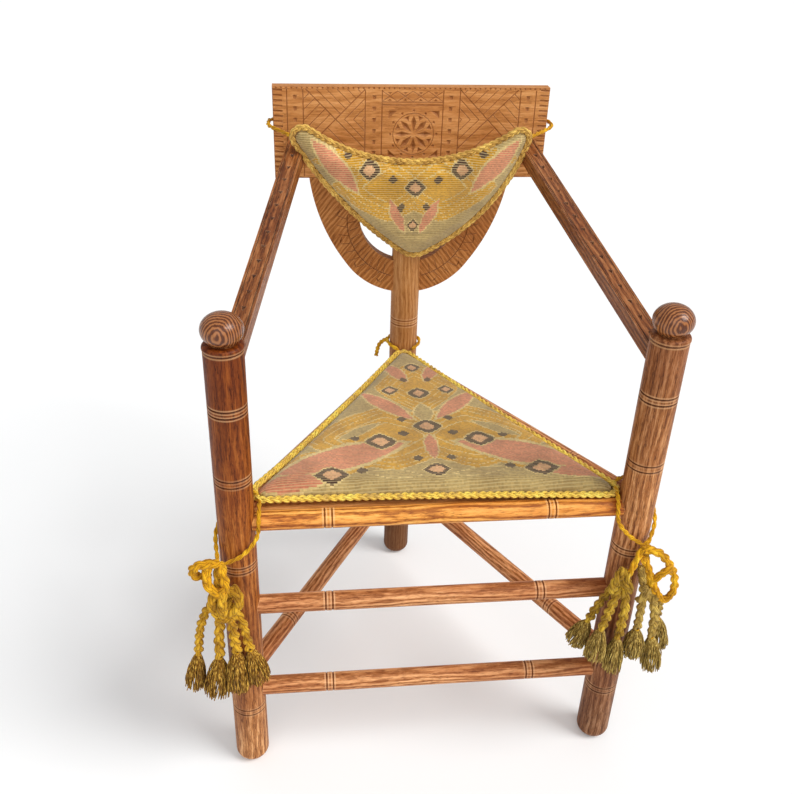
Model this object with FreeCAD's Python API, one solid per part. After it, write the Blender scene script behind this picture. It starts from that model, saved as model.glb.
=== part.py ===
# Three-post corner chair with chip-carved crest, two needlework cushions and tasselled ties.
# Millimetres. X to the sitter's left as seen from the front, Y to the back, Z up.
# The origin is on the floor, under the middle of the wooden frame's box.
import FreeCAD, Part
import math
import os
from FreeCAD import Matrix, Placement, Rotation, Vector

os.makedirs("parts", exist_ok=True)

# Turned frame
post_spacing = 560.0
front_post_radius = 25.5
rear_post_radius = 24.5
front_post_height = 741.5
foot_flat_radius = 12.0
foot_rounding_height = 19.0
collar_bead = 8.0
finial_radius = 26.7
finial_half_height = 21.6
finial_neck_radius = 16.5
finial_neck_height = 1.0
spigot_radius = 8.0
spigot_length = 22.0

# Grooves turned on the front posts: middle height of each pair
front_groove_heights = (652.0, 546.0, 400.0, 117.0)
rear_groove_height = 530.5
groove_pair_gap = 9.5
groove_width = 2.6
groove_depth = 1.3

# Rails and stretchers
rail_radius = 14.0
rail_groove_from_middle = 155.5
rail_groove_gap = 10.0
front_rail_height = 468.3
side_rail_front_height = 477.7
side_rail_rear_height = 447.9
upper_stretcher_height = 316.3
lower_stretcher_height = 148.9
side_stretcher_height = 177.5
tenon_radius = 6.5
tenon_stop = 14.0
fit_gap = 0.1
soft_gap = 0.3

# Seat board, let into grooves in the three seat rails
seat_board_thickness = 9.0
seat_board_drop = 4.0
seat_board_edge_inset = 7.0

# Crest board, braces and arms
crest_half_width = 219.3
crest_height = 144.5
crest_thickness = 22.0
crest_bottom = 790.7
crest_edge_rounding = 2.0
brace_thickness = 21.0
brace_centre_drop = 78.9
brace_outer_radius = 125.7
brace_outer_turn = 56.3
brace_flare_rise = 58.0
brace_flare_width = 33.9
brace_top_half_width = 164.5
brace_inner_drop = 66.7
brace_inner_radius = 82.0
brace_inner_top_half_width = 100.0
arm_width = 28.0
arm_depth = 21.0
arm_top_at_post = 707.1
arm_top_at_crest = 864.3
arm_half_spread_at_crest = 178.5
arm_tenon_length = 12.0

# Carving: V-cuts and chips
cut_width = 2.2
cut_depth = 1.0
chip_depth = 3.0
notch_pitch = 8.0
column_pitch = 17.5
diagonal_pitch = 16.2
chevron_pitch = 14.0
lower_pitch = 26.0
long_diagonal = 27.0
short_diagonal = 216.0
lattice_cells = 4
hatch_width = 1.6
hatch_depth = 0.8
rosette_radius = 33.0
rosette_petals = 8
rosette_knobs = 12
brace_tick_length = 17.0
arm_chip_pitch = 31.0
arm_chip_count = 15

# Cushions and their plaited edging
edging_radius = 4.2
seat_pad_half_thickness = 11.0
seat_pad_rim_half_height = 5.0
seat_pad_height = 488.0
seat_pad_height_at = 30.0
seat_pad_tilt = -1.56
seat_pad_side_bow = 7000.0
back_pad_half_thickness = 10.0
back_pad_lean = 10.1
back_pad_corner_forward = 55.0
back_pad_corner_height = 869.0

# Cords
tie_radius = 2.3
plait_radius = 6.0
bow_radius = 5.0
upper_knot_radius = 8.0
lower_knot_radius = 13.0
side_knot_radius = 11.0
tassel_radius = 12.5
tassel_neck_radius = 3.2

triangle_depth = post_spacing * math.sqrt(3.0) / 2.0
front_y = (finial_radius - rear_post_radius - triangle_depth) / 2.0
rear_y = front_y + triangle_depth
left_axis = Vector(-post_spacing / 2.0, front_y, 0.0)
right_axis = Vector(post_spacing / 2.0, front_y, 0.0)
rear_axis = Vector(0.0, rear_y, 0.0)
crest_front_y = rear_y - crest_thickness / 2.0
crest_top = crest_bottom + crest_height
up = Vector(0.0, 0.0, 1.0)


def save(name, shape):
    solids = shape.Solids
    result = solids[0] if len(solids) == 1 else Part.makeCompound(solids)
    if not result.isValid():
        print("not valid:", name)
    result.exportStep("parts/%s.step" % name)
    print(name, "solids", len(solids), "volume", round(result.Volume))
    return result


def rod(start, end, radius):
    along = end - start
    return Part.makeCylinder(radius, along.Length, start, along)


def mirrored(shape):
    return shape.mirror(Vector(0.0, 0.0, 0.0), Vector(1.0, 0.0, 0.0))


def turned(edges, axis_point):
    face = Part.Face(Part.Wire(edges))
    solid = face.revolve(Vector(0.0, 0.0, 0.0), up, 360.0)
    solid.translate(axis_point)
    return solid


def ring_cut(radius, height, axis_point):
    """A V-shaped ring that is turned out of a post."""
    half = groove_width / 2.0
    outside = radius + 0.3
    inside = radius - groove_depth
    corners = [Vector(outside, 0, height - half), Vector(outside, 0, height + half),
               Vector(inside, 0, height)]
    corners.append(corners[0])
    ring = Part.Face(Part.makePolygon(corners)).revolve(Vector(0, 0, 0), up, 360.0)
    ring.translate(axis_point)
    return ring


def pair_of_rings(radius, height, axis_point):
    half = groove_pair_gap / 2.0
    return [ring_cut(radius, height - half, axis_point), ring_cut(radius, height + half, axis_point)]


# Posts

def post_blank(radius, height, axis_point, top_bead):
    foot_side = Vector(radius, 0, foot_rounding_height)
    foot_flat = Vector(foot_flat_radius, 0, 0)
    reach = radius - foot_flat_radius
    bulge = Vector(radius - reach * 0.33, 0, foot_rounding_height * 0.27)
    edges = [Part.LineSegment(Vector(0, 0, 0), foot_flat).toShape(),
             Part.Arc(foot_flat, bulge, foot_side).toShape()]
    if top_bead:
        bead_low = Vector(radius, 0, height - collar_bead)
        bead_mid = Vector(radius + collar_bead * 0.1, 0, height - collar_bead * 0.5)
        bead_top = Vector(radius - collar_bead * 0.45, 0, height)
        edges.append(Part.LineSegment(foot_side, bead_low).toShape())
        edges.append(Part.Arc(bead_low, bead_mid, bead_top).toShape())
        last = bead_top
    else:
        last = Vector(radius, 0, height)
        edges.append(Part.LineSegment(foot_side, last).toShape())
    top = Vector(0, 0, height)
    edges.append(Part.LineSegment(last, top).toShape())
    edges.append(Part.LineSegment(top, Vector(0, 0, 0)).toShape())
    return turned(edges, axis_point)


def front_post(axis_point):
    post = post_blank(front_post_radius, front_post_height, axis_point, True)
    cuts = []
    for height in front_groove_heights:
        cuts += pair_of_rings(front_post_radius, height, axis_point)
    cuts.append(ring_cut(front_post_radius, front_post_height - collar_bead - groove_width / 2.0, axis_point))
    socket_floor = axis_point + up * (front_post_height - spigot_length - 1.0)
    cuts.append(Part.makeCylinder(spigot_radius + fit_gap, spigot_length + 2.0, socket_floor, up))
    return post.cut(cuts)


def finial(axis_point):
    base = front_post_height
    neck_top = base + finial_neck_height
    ratio = finial_neck_radius / finial_radius
    ball_drop = finial_half_height * math.sqrt(1.0 - ratio * ratio)
    centre = Vector(0, 0, neck_top + ball_drop)
    crown = centre + up * finial_half_height
    rim_angle = -math.acos(ratio)
    turn = Placement(centre, Rotation(Vector(1, 0, 0), 90)).toMatrix()
    oval = Part.Ellipse(Vector(0, 0, 0), finial_radius, finial_half_height)
    half_ball = Part.ArcOfEllipse(oval, rim_angle, math.pi / 2.0).toShape()
    half_ball = half_ball.transformGeometry(turn)
    spigot_end = base - spigot_length
    points = [crown, Vector(0, 0, spigot_end), Vector(spigot_radius, 0, spigot_end),
              Vector(spigot_radius, 0, base), Vector(finial_neck_radius, 0, base),
              Vector(finial_neck_radius, 0, neck_top)]
    edges = [Part.LineSegment(a, b).toShape() for a, b in zip(points, points[1:])]
    return turned(edges + [half_ball], axis_point)


# Rails and stretchers

class Rail:
    """A round rail from post to post, coped to each, with a round tenon let into each."""

    def __init__(self, start, end, start_radius, end_radius):
        along = (end - start).normalize()
        body = rod(start, end, rail_radius)
        self.along = along
        self.middle = (start + end) * 0.5
        for axis_point, radius in ((start, start_radius), (end, end_radius)):
            foot = Vector(axis_point.x, axis_point.y, axis_point.z - 3.0 * rail_radius)
            body = body.cut(Part.makeCylinder(radius + fit_gap, 6.0 * rail_radius, foot, up))
        body = max(body.Solids, key=lambda solid: solid.Volume)
        first = start + along * tenon_stop
        last = end - along * tenon_stop
        self.solid = body.fuse(rod(first, last, tenon_radius)).removeSplitter()
        deeper = along * 1.0
        self.mortises = [rod(first - deeper, start + along * (start_radius + 4.0), tenon_radius + fit_gap),
                         rod(end - along * (end_radius + 4.0), last + deeper, tenon_radius + fit_gap)]

    def groove(self):
        half = rail_groove_gap / 2.0
        for side in (-1, 1):
            for offset in (-half, half):
                spot = self.middle + self.along * (side * rail_groove_from_middle + offset)
                ring = ring_cut(rail_radius, 0.0, Vector(0, 0, 0))
                ring.Placement = Placement(spot, Rotation(up, self.along))
                self.solid = self.solid.cut(ring)

    def keep_side(self, point, normal):
        """Mitre: keeps what lies on the normal's side of a plane through point."""
        size = 120.0
        block = Part.makeBox(size, size, size, Vector(-size / 2.0, -size / 2.0, 0.0))
        block.Placement = Placement(point + normal * fit_gap, Rotation(up, normal * -1.0))
        self.solid = self.solid.cut(block)


def lifted(axis_point, height):
    return Vector(axis_point.x, axis_point.y, height)


def rail_between(first_axis, second_axis, first_height, second_height):
    first_radius = rear_post_radius if first_axis == rear_axis else front_post_radius
    second_radius = rear_post_radius if second_axis == rear_axis else front_post_radius
    start = lifted(first_axis, first_height)
    end = lifted(second_axis, second_height)
    return Rail(start, end, first_radius, second_radius)


rails = {
    "front_seat_rail": rail_between(left_axis, right_axis, front_rail_height, front_rail_height),
    "left_seat_rail": rail_between(left_axis, rear_axis, side_rail_front_height, side_rail_rear_height),
    "right_seat_rail": rail_between(right_axis, rear_axis, side_rail_front_height, side_rail_rear_height),
    "upper_front_stretcher":
        rail_between(left_axis, right_axis, upper_stretcher_height, upper_stretcher_height),
    "lower_front_stretcher":
        rail_between(left_axis, right_axis, lower_stretcher_height, lower_stretcher_height),
    "left_side_stretcher": rail_between(left_axis, rear_axis, side_stretcher_height, side_stretcher_height),
    "right_side_stretcher": rail_between(right_axis, rear_axis, side_stretcher_height, side_stretcher_height),
}

# Rails that meet on one post at nearly one height are mitred on the plane between them.
for side, axis_point in ((-1, left_axis), (1, right_axis)):
    inward = Vector(-side * math.cos(math.radians(30)), math.sin(math.radians(30)), 0)
    toward_front = Vector(inward.y * -side, -abs(inward.x), 0)
    side_name = "left" if side < 0 else "right"
    corner = lifted(axis_point, front_rail_height) + inward * (front_post_radius + 2.0)
    rails["front_seat_rail"].keep_side(corner, toward_front)
    rails[side_name + "_seat_rail"].keep_side(corner, toward_front * -1.0)
    for kind, height in (("_seat_rail", side_rail_rear_height), ("_side_stretcher", side_stretcher_height)):
        meeting = Vector(0, rear_y - rear_post_radius - 2.0, height)
        rails[side_name + kind].keep_side(meeting, Vector(side, 0, 0))

for rail in rails.values():
    rail.groove()

# Seat board

seat_slope = (side_rail_rear_height - side_rail_front_height) / triangle_depth


def seat_panel(edge_inset, thickness):
    """A triangular board in the plane of the side rails, its edges inset from the rails' axes."""
    middle = (left_axis + right_axis + rear_axis) * (1.0 / 3.0)
    shrink = 1.0 - edge_inset / (post_spacing / (2.0 * math.sqrt(3.0)))
    corners = []
    for axis_point in (left_axis, right_axis, rear_axis):
        spot = middle + (axis_point - middle) * shrink
        height = side_rail_front_height - seat_board_drop + seat_slope * (spot.y - front_y)
        corners.append(Vector(spot.x, spot.y, height))
    normal = Vector(0, -seat_slope, 1).normalize()
    face = Part.Face(Part.makePolygon(corners + [corners[0]]))
    face.translate(normal * (-thickness / 2.0))
    return face.extrude(normal * thickness)


seat_board = seat_panel(seat_board_edge_inset, seat_board_thickness)
for axis_point, radius in ((left_axis, front_post_radius), (right_axis, front_post_radius),
                           (rear_axis, rear_post_radius)):
    seat_board = seat_board.cut(Part.makeCylinder(radius + soft_gap, front_post_height, axis_point, up))
rail_housing = seat_panel(seat_board_edge_inset - fit_gap, seat_board_thickness + 2.0 * fit_gap)
for name in ("front_seat_rail", "left_seat_rail", "right_seat_rail"):
    rails[name].solid = rails[name].solid.cut(rail_housing)

# Carving tools: a face is a function from (across, along, depth) to a point

def prism_cut(place, first, second, width=cut_width, depth=cut_depth):
    """A straight V-cut from one point of a face to another."""
    run_u = second[0] - first[0]
    run_v = second[1] - first[1]
    length = math.hypot(run_u, run_v)
    side_u = -run_v / length * width / 2.0
    side_v = run_u / length * width / 2.0
    proud = 0.2
    spread = 1.0 + proud / depth
    outline = []
    for end in (first, second):
        outline.append([place(end[0] + side_u * spread, end[1] + side_v * spread, -proud),
                        place(end[0] - side_u * spread, end[1] - side_v * spread, -proud),
                        place(end[0], end[1], depth)])
    near, far = outline
    return Part.Face(Part.makePolygon(near + [near[0]])).extrude(far[0] - near[0])


def chip_cut(place, corners, lowest, depth=chip_depth):
    """A chip with one lowest point, cut from the face by as many strokes as it has corners."""
    proud = 0.2
    spread = 1.0 + proud / depth
    rim = []
    for u, v in corners:
        rim.append(place(lowest[0] + (u - lowest[0]) * spread, lowest[1] + (v - lowest[1]) * spread, -proud))
    tip = place(lowest[0], lowest[1], depth)
    faces = [Part.Face(Part.makePolygon(rim + [rim[0]]))]
    for a, b in zip(rim, rim[1:] + rim[:1]):
        faces.append(Part.Face(Part.makePolygon([a, b, tip, a])))
    return Part.Solid(Part.Shell(faces))


# Crest board

def on_crest(u, v, depth):
    return Vector(u, crest_front_y + depth, crest_bottom + v)


field_inner = 75.0
field_outer = 172.0
border_line = 197.0
panel_half_width = 48.5
column_inner = (field_inner - 2.0 + panel_half_width) / 2.0
column_outer = (field_outer + border_line) / 2.0
rosette_centre = (2.5, 71.5)
lattice_low = 121.5
lattice_high = 138.5


def crest_lines():
    cuts = []
    for at in (panel_half_width, field_inner, field_outer, border_line):
        for side in (-1, 1):
            cuts.append(prism_cut(on_crest, (side * at, 3.0), (side * at, crest_height - 4.0)))
    for height in (lattice_low, lattice_low - 4.5):
        cuts.append(prism_cut(on_crest, (-panel_half_width, height), (panel_half_width, height)))
    return cuts


def crest_notches():
    cuts = []
    for i in range(int(crest_height / notch_pitch)):
        v = notch_pitch * (i + 0.5)
        for side in (-1, 1):
            outer = side * (crest_half_width + 1.0)
            inner = side * (border_line + 7.0)
            cuts.append(prism_cut(on_crest, (outer, v), (inner, v + side * 1.0), 3.4, 1.6))
    for i in range(int(2.0 * crest_half_width / notch_pitch)):
        u = -crest_half_width + notch_pitch * (i + 0.5)
        cuts.append(prism_cut(on_crest, (u, crest_height + 1.0), (u + 2.5, crest_height - 3.0), 3.4, 1.6))
    return cuts


def crest_columns():
    cuts = []
    for i in range(7):
        v = crest_height - 12.5 - column_pitch * i
        for centre in (column_inner, column_outer):
            for side in (-1, 1):
                u = side * centre
                rim = [(u - 3.6, v), (u + 3.6, v), (u + 2.2, v - 7.0), (u - 2.2, v - 7.0)]
                cuts.append(chip_cut(on_crest, rim, (u, v - 1.5), 2.2))
    return cuts


def crest_hatching():
    """A long and a short diagonal cross in each field, with parallel lines in the parts they leave."""
    top, bottom = crest_height - 3.5, 6.0
    crossing_v = (short_diagonal - long_diagonal) / 2.0
    cuts = []

    def rising(offset, high, low):
        """A line where u - v is the offset, cut off at the field's inner side."""
        low = max(low, field_inner - offset)
        return (offset + high, high), (offset + low, low)

    def falling(offset, high, low):
        """A line where u + v is the offset, cut off at the field's sides."""
        high, low = min(high, offset - field_inner), max(low, offset - field_outer)
        return (offset - high, high), (offset - low, low)

    main = [rising(long_diagonal, top, bottom), falling(short_diagonal, top, bottom)]
    fine = []
    for i in range(1, 6):
        offset = long_diagonal - diagonal_pitch * i
        fine.append(rising(offset, top, (short_diagonal - offset) / 2.0))
        offset = short_diagonal + diagonal_pitch * i
        fine.append(falling(offset, (offset - long_diagonal) / 2.0, bottom))
    for i in range(1, 4):
        fine.append(falling(short_diagonal - chevron_pitch * i, top, crossing_v))
        fine.append(rising(long_diagonal - chevron_pitch * i, crossing_v, bottom))
        offset = long_diagonal + lower_pitch * i
        fine.append(rising(offset, (short_diagonal - offset) / 2.0, bottom))
    for lines, width, depth in ((main, cut_width, cut_depth), (fine, hatch_width, hatch_depth)):
        for first, second in lines:
            for side in (-1, 1):
                ends = [(side * u, v) for u, v in (first, second)]
                cuts.append(prism_cut(on_crest, ends[0], ends[1], width, depth))
    return cuts


def crest_lattice():
    """Long crossing lines in the band over the rosette, with a chip at each side of a crossing."""
    cuts = []
    step = 2.0 * panel_half_width / lattice_cells
    middle = (lattice_low + lattice_high) / 2.0
    for i in range(lattice_cells):
        u = -panel_half_width + step * i
        for low, high in ((lattice_low + 1.0, lattice_high), (lattice_high, lattice_low + 1.0)):
            cuts.append(prism_cut(on_crest, (u, low), (u + step, high), hatch_width, hatch_depth))
        for lean in (-1, 1):
            top = middle + lean * 7.0
            rim = [(u + step * 0.33, top), (u + step * 0.67, top), (u + step * 0.5, middle + lean * 3.0)]
            if lean < 0:
                rim.reverse()
            cuts.append(chip_cut(on_crest, rim, (u + step * 0.5, middle + lean * 5.5), 1.6))
    return cuts


def crest_rosette():
    """Eight long chips in a wheel, small chips between their tips, and knobs round the rim."""
    cuts = []
    step = 2.0 * math.pi / rosette_petals

    def polar(share, angle):
        radius = share * rosette_radius
        return (rosette_centre[0] + radius * math.cos(angle), rosette_centre[1] + radius * math.sin(angle))

    for i in range(rosette_petals):
        angle = step * i
        rim = [polar(0.09, angle), polar(0.6, angle - 0.25), polar(0.92, angle), polar(0.6, angle + 0.25)]
        cuts.append(chip_cut(on_crest, rim, polar(0.57, angle), 3.0))
        between = step * (i + 0.5)
        rim = [polar(0.66, between), polar(0.92, between - 0.17), polar(0.92, between + 0.17)]
        cuts.append(chip_cut(on_crest, rim, polar(0.83, between), 2.2))
    for i in range(2 * rosette_knobs):
        angle = math.pi * i / rosette_knobs
        beyond = angle + math.pi / rosette_knobs
        cuts.append(prism_cut(on_crest, polar(1.0, angle), polar(1.0, beyond), hatch_width, hatch_depth))
    for i in range(rosette_knobs):
        angle = 2.0 * math.pi * i / rosette_knobs
        rim = [polar(1.05, angle), polar(1.14, angle - 0.08), polar(1.2, angle), polar(1.14, angle + 0.08)]
        cuts.append(chip_cut(on_crest, rim, polar(1.13, angle), 1.8))
    for u_side in (-1, 1):
        for v_side in (-1, 1):
            u = rosette_centre[0] + u_side * 35.0
            v = rosette_centre[1] + v_side * 33.0
            rim = [(u - u_side * 9.0, v + v_side * 4.0), (u + u_side * 6.0, v - v_side * 9.0),
                   (u + u_side * 6.0, v + v_side * 4.0)]
            if u_side * v_side > 0:
                rim.reverse()
            cuts.append(chip_cut(on_crest, rim, (u + u_side * 2.0, v), 2.4))
    return cuts


crest_board = Part.makeBox(2.0 * crest_half_width, crest_thickness, crest_height,
                           Vector(-crest_half_width, crest_front_y, crest_bottom))
long_edges = [edge for edge in crest_board.Edges if edge.BoundBox.YLength < 1.0]
crest_board = crest_board.makeFillet(crest_edge_rounding, long_edges)
crest_board = crest_board.cut(crest_lines() + crest_lattice())
crest_board = crest_board.cut(crest_notches())
crest_board = crest_board.cut(crest_hatching())
crest_board = crest_board.cut(crest_columns())
crest_board = crest_board.cut(crest_rosette())

# Braces: the two halves of a horseshoe between the rear post and the crest board

def brace_outline():
    centre = crest_bottom - brace_centre_drop
    turn = math.radians(brace_outer_turn)

    def outer(angle):
        return Vector(brace_outer_radius * math.sin(angle), 0, centre - brace_outer_radius * math.cos(angle))

    low = outer(0.0)
    knee = outer(turn)
    flare = Vector(knee.x + brace_flare_width, 0, knee.z + brace_flare_rise)
    top_outer = Vector(brace_top_half_width, 0, crest_bottom)
    top_inner = Vector(brace_inner_top_half_width, 0, crest_bottom)
    inner_centre = crest_bottom - brace_inner_drop
    half = brace_inner_radius * math.sqrt(0.5)
    shoulder = Vector(brace_inner_radius, 0, inner_centre)
    inner_low = Vector(0, 0, inner_centre - brace_inner_radius)
    return [Part.Arc(low, outer(turn / 2.0), knee).toShape(),
            Part.Arc(knee, flare, top_outer).toShape(),
            Part.LineSegment(top_outer, top_inner).toShape(),
            Part.LineSegment(top_inner, shoulder).toShape(),
            Part.Arc(shoulder, Vector(half, 0, inner_centre - half), inner_low).toShape(),
            Part.LineSegment(inner_low, low).toShape()]


brace_front_y = rear_y - brace_thickness / 2.0
brace_middle_radius = 103.0
brace_ring_centre = (0.0, -74.0)


def on_brace(u, v, depth):
    return Vector(u, brace_front_y + depth, crest_bottom + v)


def brace_carving():
    cuts = []

    def polar(radius, angle):
        return (brace_ring_centre[0] + radius * math.sin(angle),
                brace_ring_centre[1] - radius * math.cos(angle))

    steps = 9
    span = math.radians(96.0)
    start = math.radians(15.0)
    for i in range(steps):
        a = start + (span - start) * i / steps
        b = start + (span - start) * (i + 1) / steps
        cuts.append(prism_cut(on_brace, polar(brace_middle_radius, a), polar(brace_middle_radius, b)))
    ticks = 10
    for i in range(ticks):
        a = start + (span - start) * (i + 0.5) / ticks
        for turn, lag in ((1, 0.0), (-1, 0.07)):
            near = polar(brace_middle_radius, a + lag)
            far = polar(brace_middle_radius + turn * brace_tick_length, a + lag + 0.05)
            cuts.append(prism_cut(on_brace, near, far, hatch_width, hatch_depth))
        a += 0.07
        if i % 3 == 0:
            rim = [polar(brace_middle_radius + 17.5, a - 0.03), polar(brace_middle_radius + 17.5, a + 0.03),
                   polar(brace_middle_radius + 11.5, a + 0.09)]
            cuts.append(chip_cut(on_brace, rim, polar(brace_middle_radius + 15.5, a + 0.02), 1.8))
    return cuts


brace_face = Part.Face(Part.Wire(brace_outline()))
brace_face.translate(Vector(0, brace_front_y, 0))
right_brace = brace_face.extrude(Vector(0, brace_thickness, 0))
right_brace = right_brace.cut(Part.makeCylinder(rear_post_radius + fit_gap, crest_top, rear_axis, up))
right_brace = right_brace.cut(brace_carving())
right_brace = max(right_brace.Solids, key=lambda solid: solid.Volume)

brace_low_middle = (brace_centre_drop + brace_outer_radius + brace_inner_drop + brace_inner_radius) / 2.0
brace_tenon_height = crest_bottom - brace_low_middle
brace_top_middle = (brace_top_half_width + brace_inner_top_half_width) / 2.0
brace_tenon_reach = Vector(tenon_stop, rear_y, brace_tenon_height)
brace_tenon_root = Vector(rear_post_radius + 12.0, rear_y, brace_tenon_height)
brace_tenon = rod(brace_tenon_reach, brace_tenon_root, tenon_radius)
top_tenon = rod(Vector(brace_top_middle, rear_y, crest_bottom - 10.0),
                Vector(brace_top_middle, rear_y, crest_bottom + arm_tenon_length), tenon_radius)
right_brace = right_brace.fuse([brace_tenon, top_tenon]).removeSplitter()
left_brace = mirrored(right_brace)
brace_mortise = rod(Vector(tenon_stop - 1.0, rear_y, brace_tenon_height),
                    Vector(rear_post_radius + 4.0, rear_y, brace_tenon_height), tenon_radius + fit_gap)
crest_brace_mortise = rod(Vector(brace_top_middle, rear_y, crest_bottom - 1.0),
                          Vector(brace_top_middle, rear_y, crest_bottom + arm_tenon_length + 1.0),
                          tenon_radius + fit_gap)

# Arms: flat bars from the front posts up to the crest board

class Arm:
    def __init__(self):
        low = Vector(post_spacing / 2.0, front_y, arm_top_at_post)
        high = Vector(arm_half_spread_at_crest, crest_front_y, arm_top_at_crest)
        along = (high - low).normalize()
        across = along.cross(up).normalize()
        normal = across.cross(along)
        length = (high - low).Length
        centre_low = low - normal * (arm_depth / 2.0)
        centre_high = high - normal * (arm_depth / 2.0)
        overrun = along * (2.0 * arm_depth)
        corner = low - across * (arm_width / 2.0) - normal * arm_depth
        section = [corner, corner + across * arm_width, corner + across * arm_width + normal * arm_depth,
                   corner + normal * arm_depth]
        body = Part.Face(Part.makePolygon(section + [section[0]])).extrude((high - low) + overrun)
        body = body.cut(Part.makeCylinder(front_post_radius + fit_gap, crest_top, right_axis, up))
        back_block = Part.makeBox(post_spacing, crest_thickness * 6.0, crest_top,
                                  Vector(0, crest_front_y - fit_gap, 0))
        body = body.cut(back_block)
        body = max(body.Solids, key=lambda solid: solid.Volume)

        def on_arm(u, v, depth):
            return low + along * v + across * u - normal * depth

        cuts = []
        edge = arm_width / 2.0 - 4.0
        for side in (-1, 1):
            cuts.append(prism_cut(on_arm, (side * edge, 0.0), (side * edge, length + 20.0), 1.8, 0.9))
        for i in range(arm_chip_count):
            v = front_post_radius + 22.0 + arm_chip_pitch * i
            rim = [(-3.8, v), (3.8, v), (0.0, v - 8.5)]
            cuts.append(chip_cut(on_arm, rim, (0.0, v - 2.2), 2.6))
        body = body.cut(cuts)
        post_tenon = rod(centre_low + along * tenon_stop,
                         centre_low + along * (front_post_radius + 12.0), tenon_radius)
        crest_tenon = rod(centre_high - along * 14.0, centre_high + along * arm_tenon_length, tenon_radius)
        self.solid = body.fuse([post_tenon, crest_tenon]).removeSplitter()
        self.post_mortise = rod(centre_low + along * (tenon_stop - 1.0),
                                centre_low + along * (front_post_radius + 6.0), tenon_radius + fit_gap)
        self.crest_mortise = rod(centre_high - along * 8.0,
                                 centre_high + along * (arm_tenon_length + 1.0), tenon_radius + fit_gap)
        self.block = Part.Face(Part.makePolygon(section + [section[0]])).extrude((high - low) + along * 30.0)


arm = Arm()
right_arm = arm.solid
left_arm = mirrored(right_arm)

# Posts with their mortises

post_mortises = []
for rail in rails.values():
    post_mortises += rail.mortises
right_post = front_post(right_axis).cut(post_mortises + [arm.post_mortise])
left_post = front_post(left_axis).cut(post_mortises + [mirrored(arm.post_mortise)])
rear_post = post_blank(rear_post_radius, crest_bottom, rear_axis, False)
rear_post = rear_post.cut(pair_of_rings(rear_post_radius, rear_groove_height, rear_axis))
rear_post = rear_post.cut(post_mortises + [brace_mortise, mirrored(brace_mortise)])
rear_tenon_top = crest_bottom + 2.0 * arm_tenon_length
rear_tenon = rod(lifted(rear_axis, crest_bottom - 5.0), lifted(rear_axis, rear_tenon_top), tenon_radius)
rear_post = rear_post.fuse(rear_tenon).removeSplitter()
rear_mortise = rod(lifted(rear_axis, crest_bottom - 1.0), lifted(rear_axis, rear_tenon_top + 1.0),
                   tenon_radius + fit_gap)
crest_board = crest_board.cut([rear_mortise, crest_brace_mortise, mirrored(crest_brace_mortise),
                               arm.crest_mortise, mirrored(arm.crest_mortise)])

save("front_left_post", left_post)
save("front_right_post", right_post)
save("rear_post", rear_post)
save("left_finial", finial(left_axis))
save("right_finial", finial(right_axis))
for name, rail in rails.items():
    save(name, rail.solid)
save("seat_board", seat_board)
save("crest_board", crest_board)
save("left_brace", left_brace)
save("right_brace", right_brace)
save("left_arm", left_arm)
save("right_arm", right_arm)


# Cushions: an outline of three round corners joined by long arcs, drawn in or bowed out

def meeting_point(first, second, first_reach, second_reach, outward):
    """Where two circles about first and second cross, on the side that outward points to."""
    gap = second - first
    along = (first_reach ** 2 - second_reach ** 2 + gap.Length ** 2) / (2.0 * gap.Length)
    rise = math.sqrt(first_reach ** 2 - along ** 2)
    across = Vector(-gap.y, gap.x, 0).normalize()
    if across * outward < 0:
        across = across * -1.0
    return first + gap.normalize() * along + across * rise


def pad_outline(corners, bows, grow, scale=1.0):
    """Edges of the outline, grown outward. A positive bow is the radius of a drawn-in side."""
    middle = sum((centre for centre, radius in corners), Vector(0, 0, 0)) * (1.0 / len(corners))
    sides = []
    for i, bow in enumerate(bows):
        first, first_radius = corners[i]
        second, second_radius = corners[(i + 1) % len(corners)]
        outward = (first + second) * 0.5 - middle
        if bow > 0:
            hub = meeting_point(first, second, bow + first_radius, bow + second_radius, outward)
            start = first + (hub - first).normalize() * (first_radius + grow)
            end = second + (hub - second).normalize() * (second_radius + grow)
            reach = bow - grow
        else:
            hub = meeting_point(first, second, -bow - first_radius, -bow - second_radius, outward * -1.0)
            start = first + (first - hub).normalize() * (first_radius + grow)
            end = second + (second - hub).normalize() * (second_radius + grow)
            reach = -bow + grow
        crown = hub + ((start + end) * 0.5 - hub).normalize() * reach
        sides.append((start, crown, end))
    edges = []
    for i, (start, crown, end) in enumerate(sides):
        edges.append(Part.Arc(start, crown, end).toShape())
        after = (i + 1) % len(sides)
        centre, radius = corners[after]
        following = sides[after][0]
        nose = centre + ((end + following) * 0.5 - centre).normalize() * (radius + grow)
        edges.append(Part.Arc(end, nose, following).toShape())
    wire = Part.Wire(edges)
    if scale != 1.0:
        around = Matrix()
        around.move(middle * -1.0)
        around.scale(scale, scale, 1.0)
        around.move(middle)
        wire = wire.transformShape(around)
    return wire


def pad(corners, bows, half_thickness, rim_half_height):
    """A stuffed pad with a crown on both faces and sides drawn in to a narrow rim."""
    inset = -(edging_radius + soft_gap)
    levels = [(0.42, -1.0), (0.72, -0.93), (0.90, -0.76), (0.975, -0.55), (1.0, -0.1),
              (1.0, 0.1), (0.975, 0.55), (0.90, 0.76), (0.72, 0.93), (0.42, 1.0)]
    wires = []
    for scale, level in levels:
        wire = pad_outline(corners, bows, inset, scale)
        height = level * half_thickness if abs(level) > 0.5 else math.copysign(rim_half_height * 0.5, level)
        wire.translate(Vector(0, 0, height))
        wires.append(wire)
    return Part.makeLoft(wires, True, True)


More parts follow.
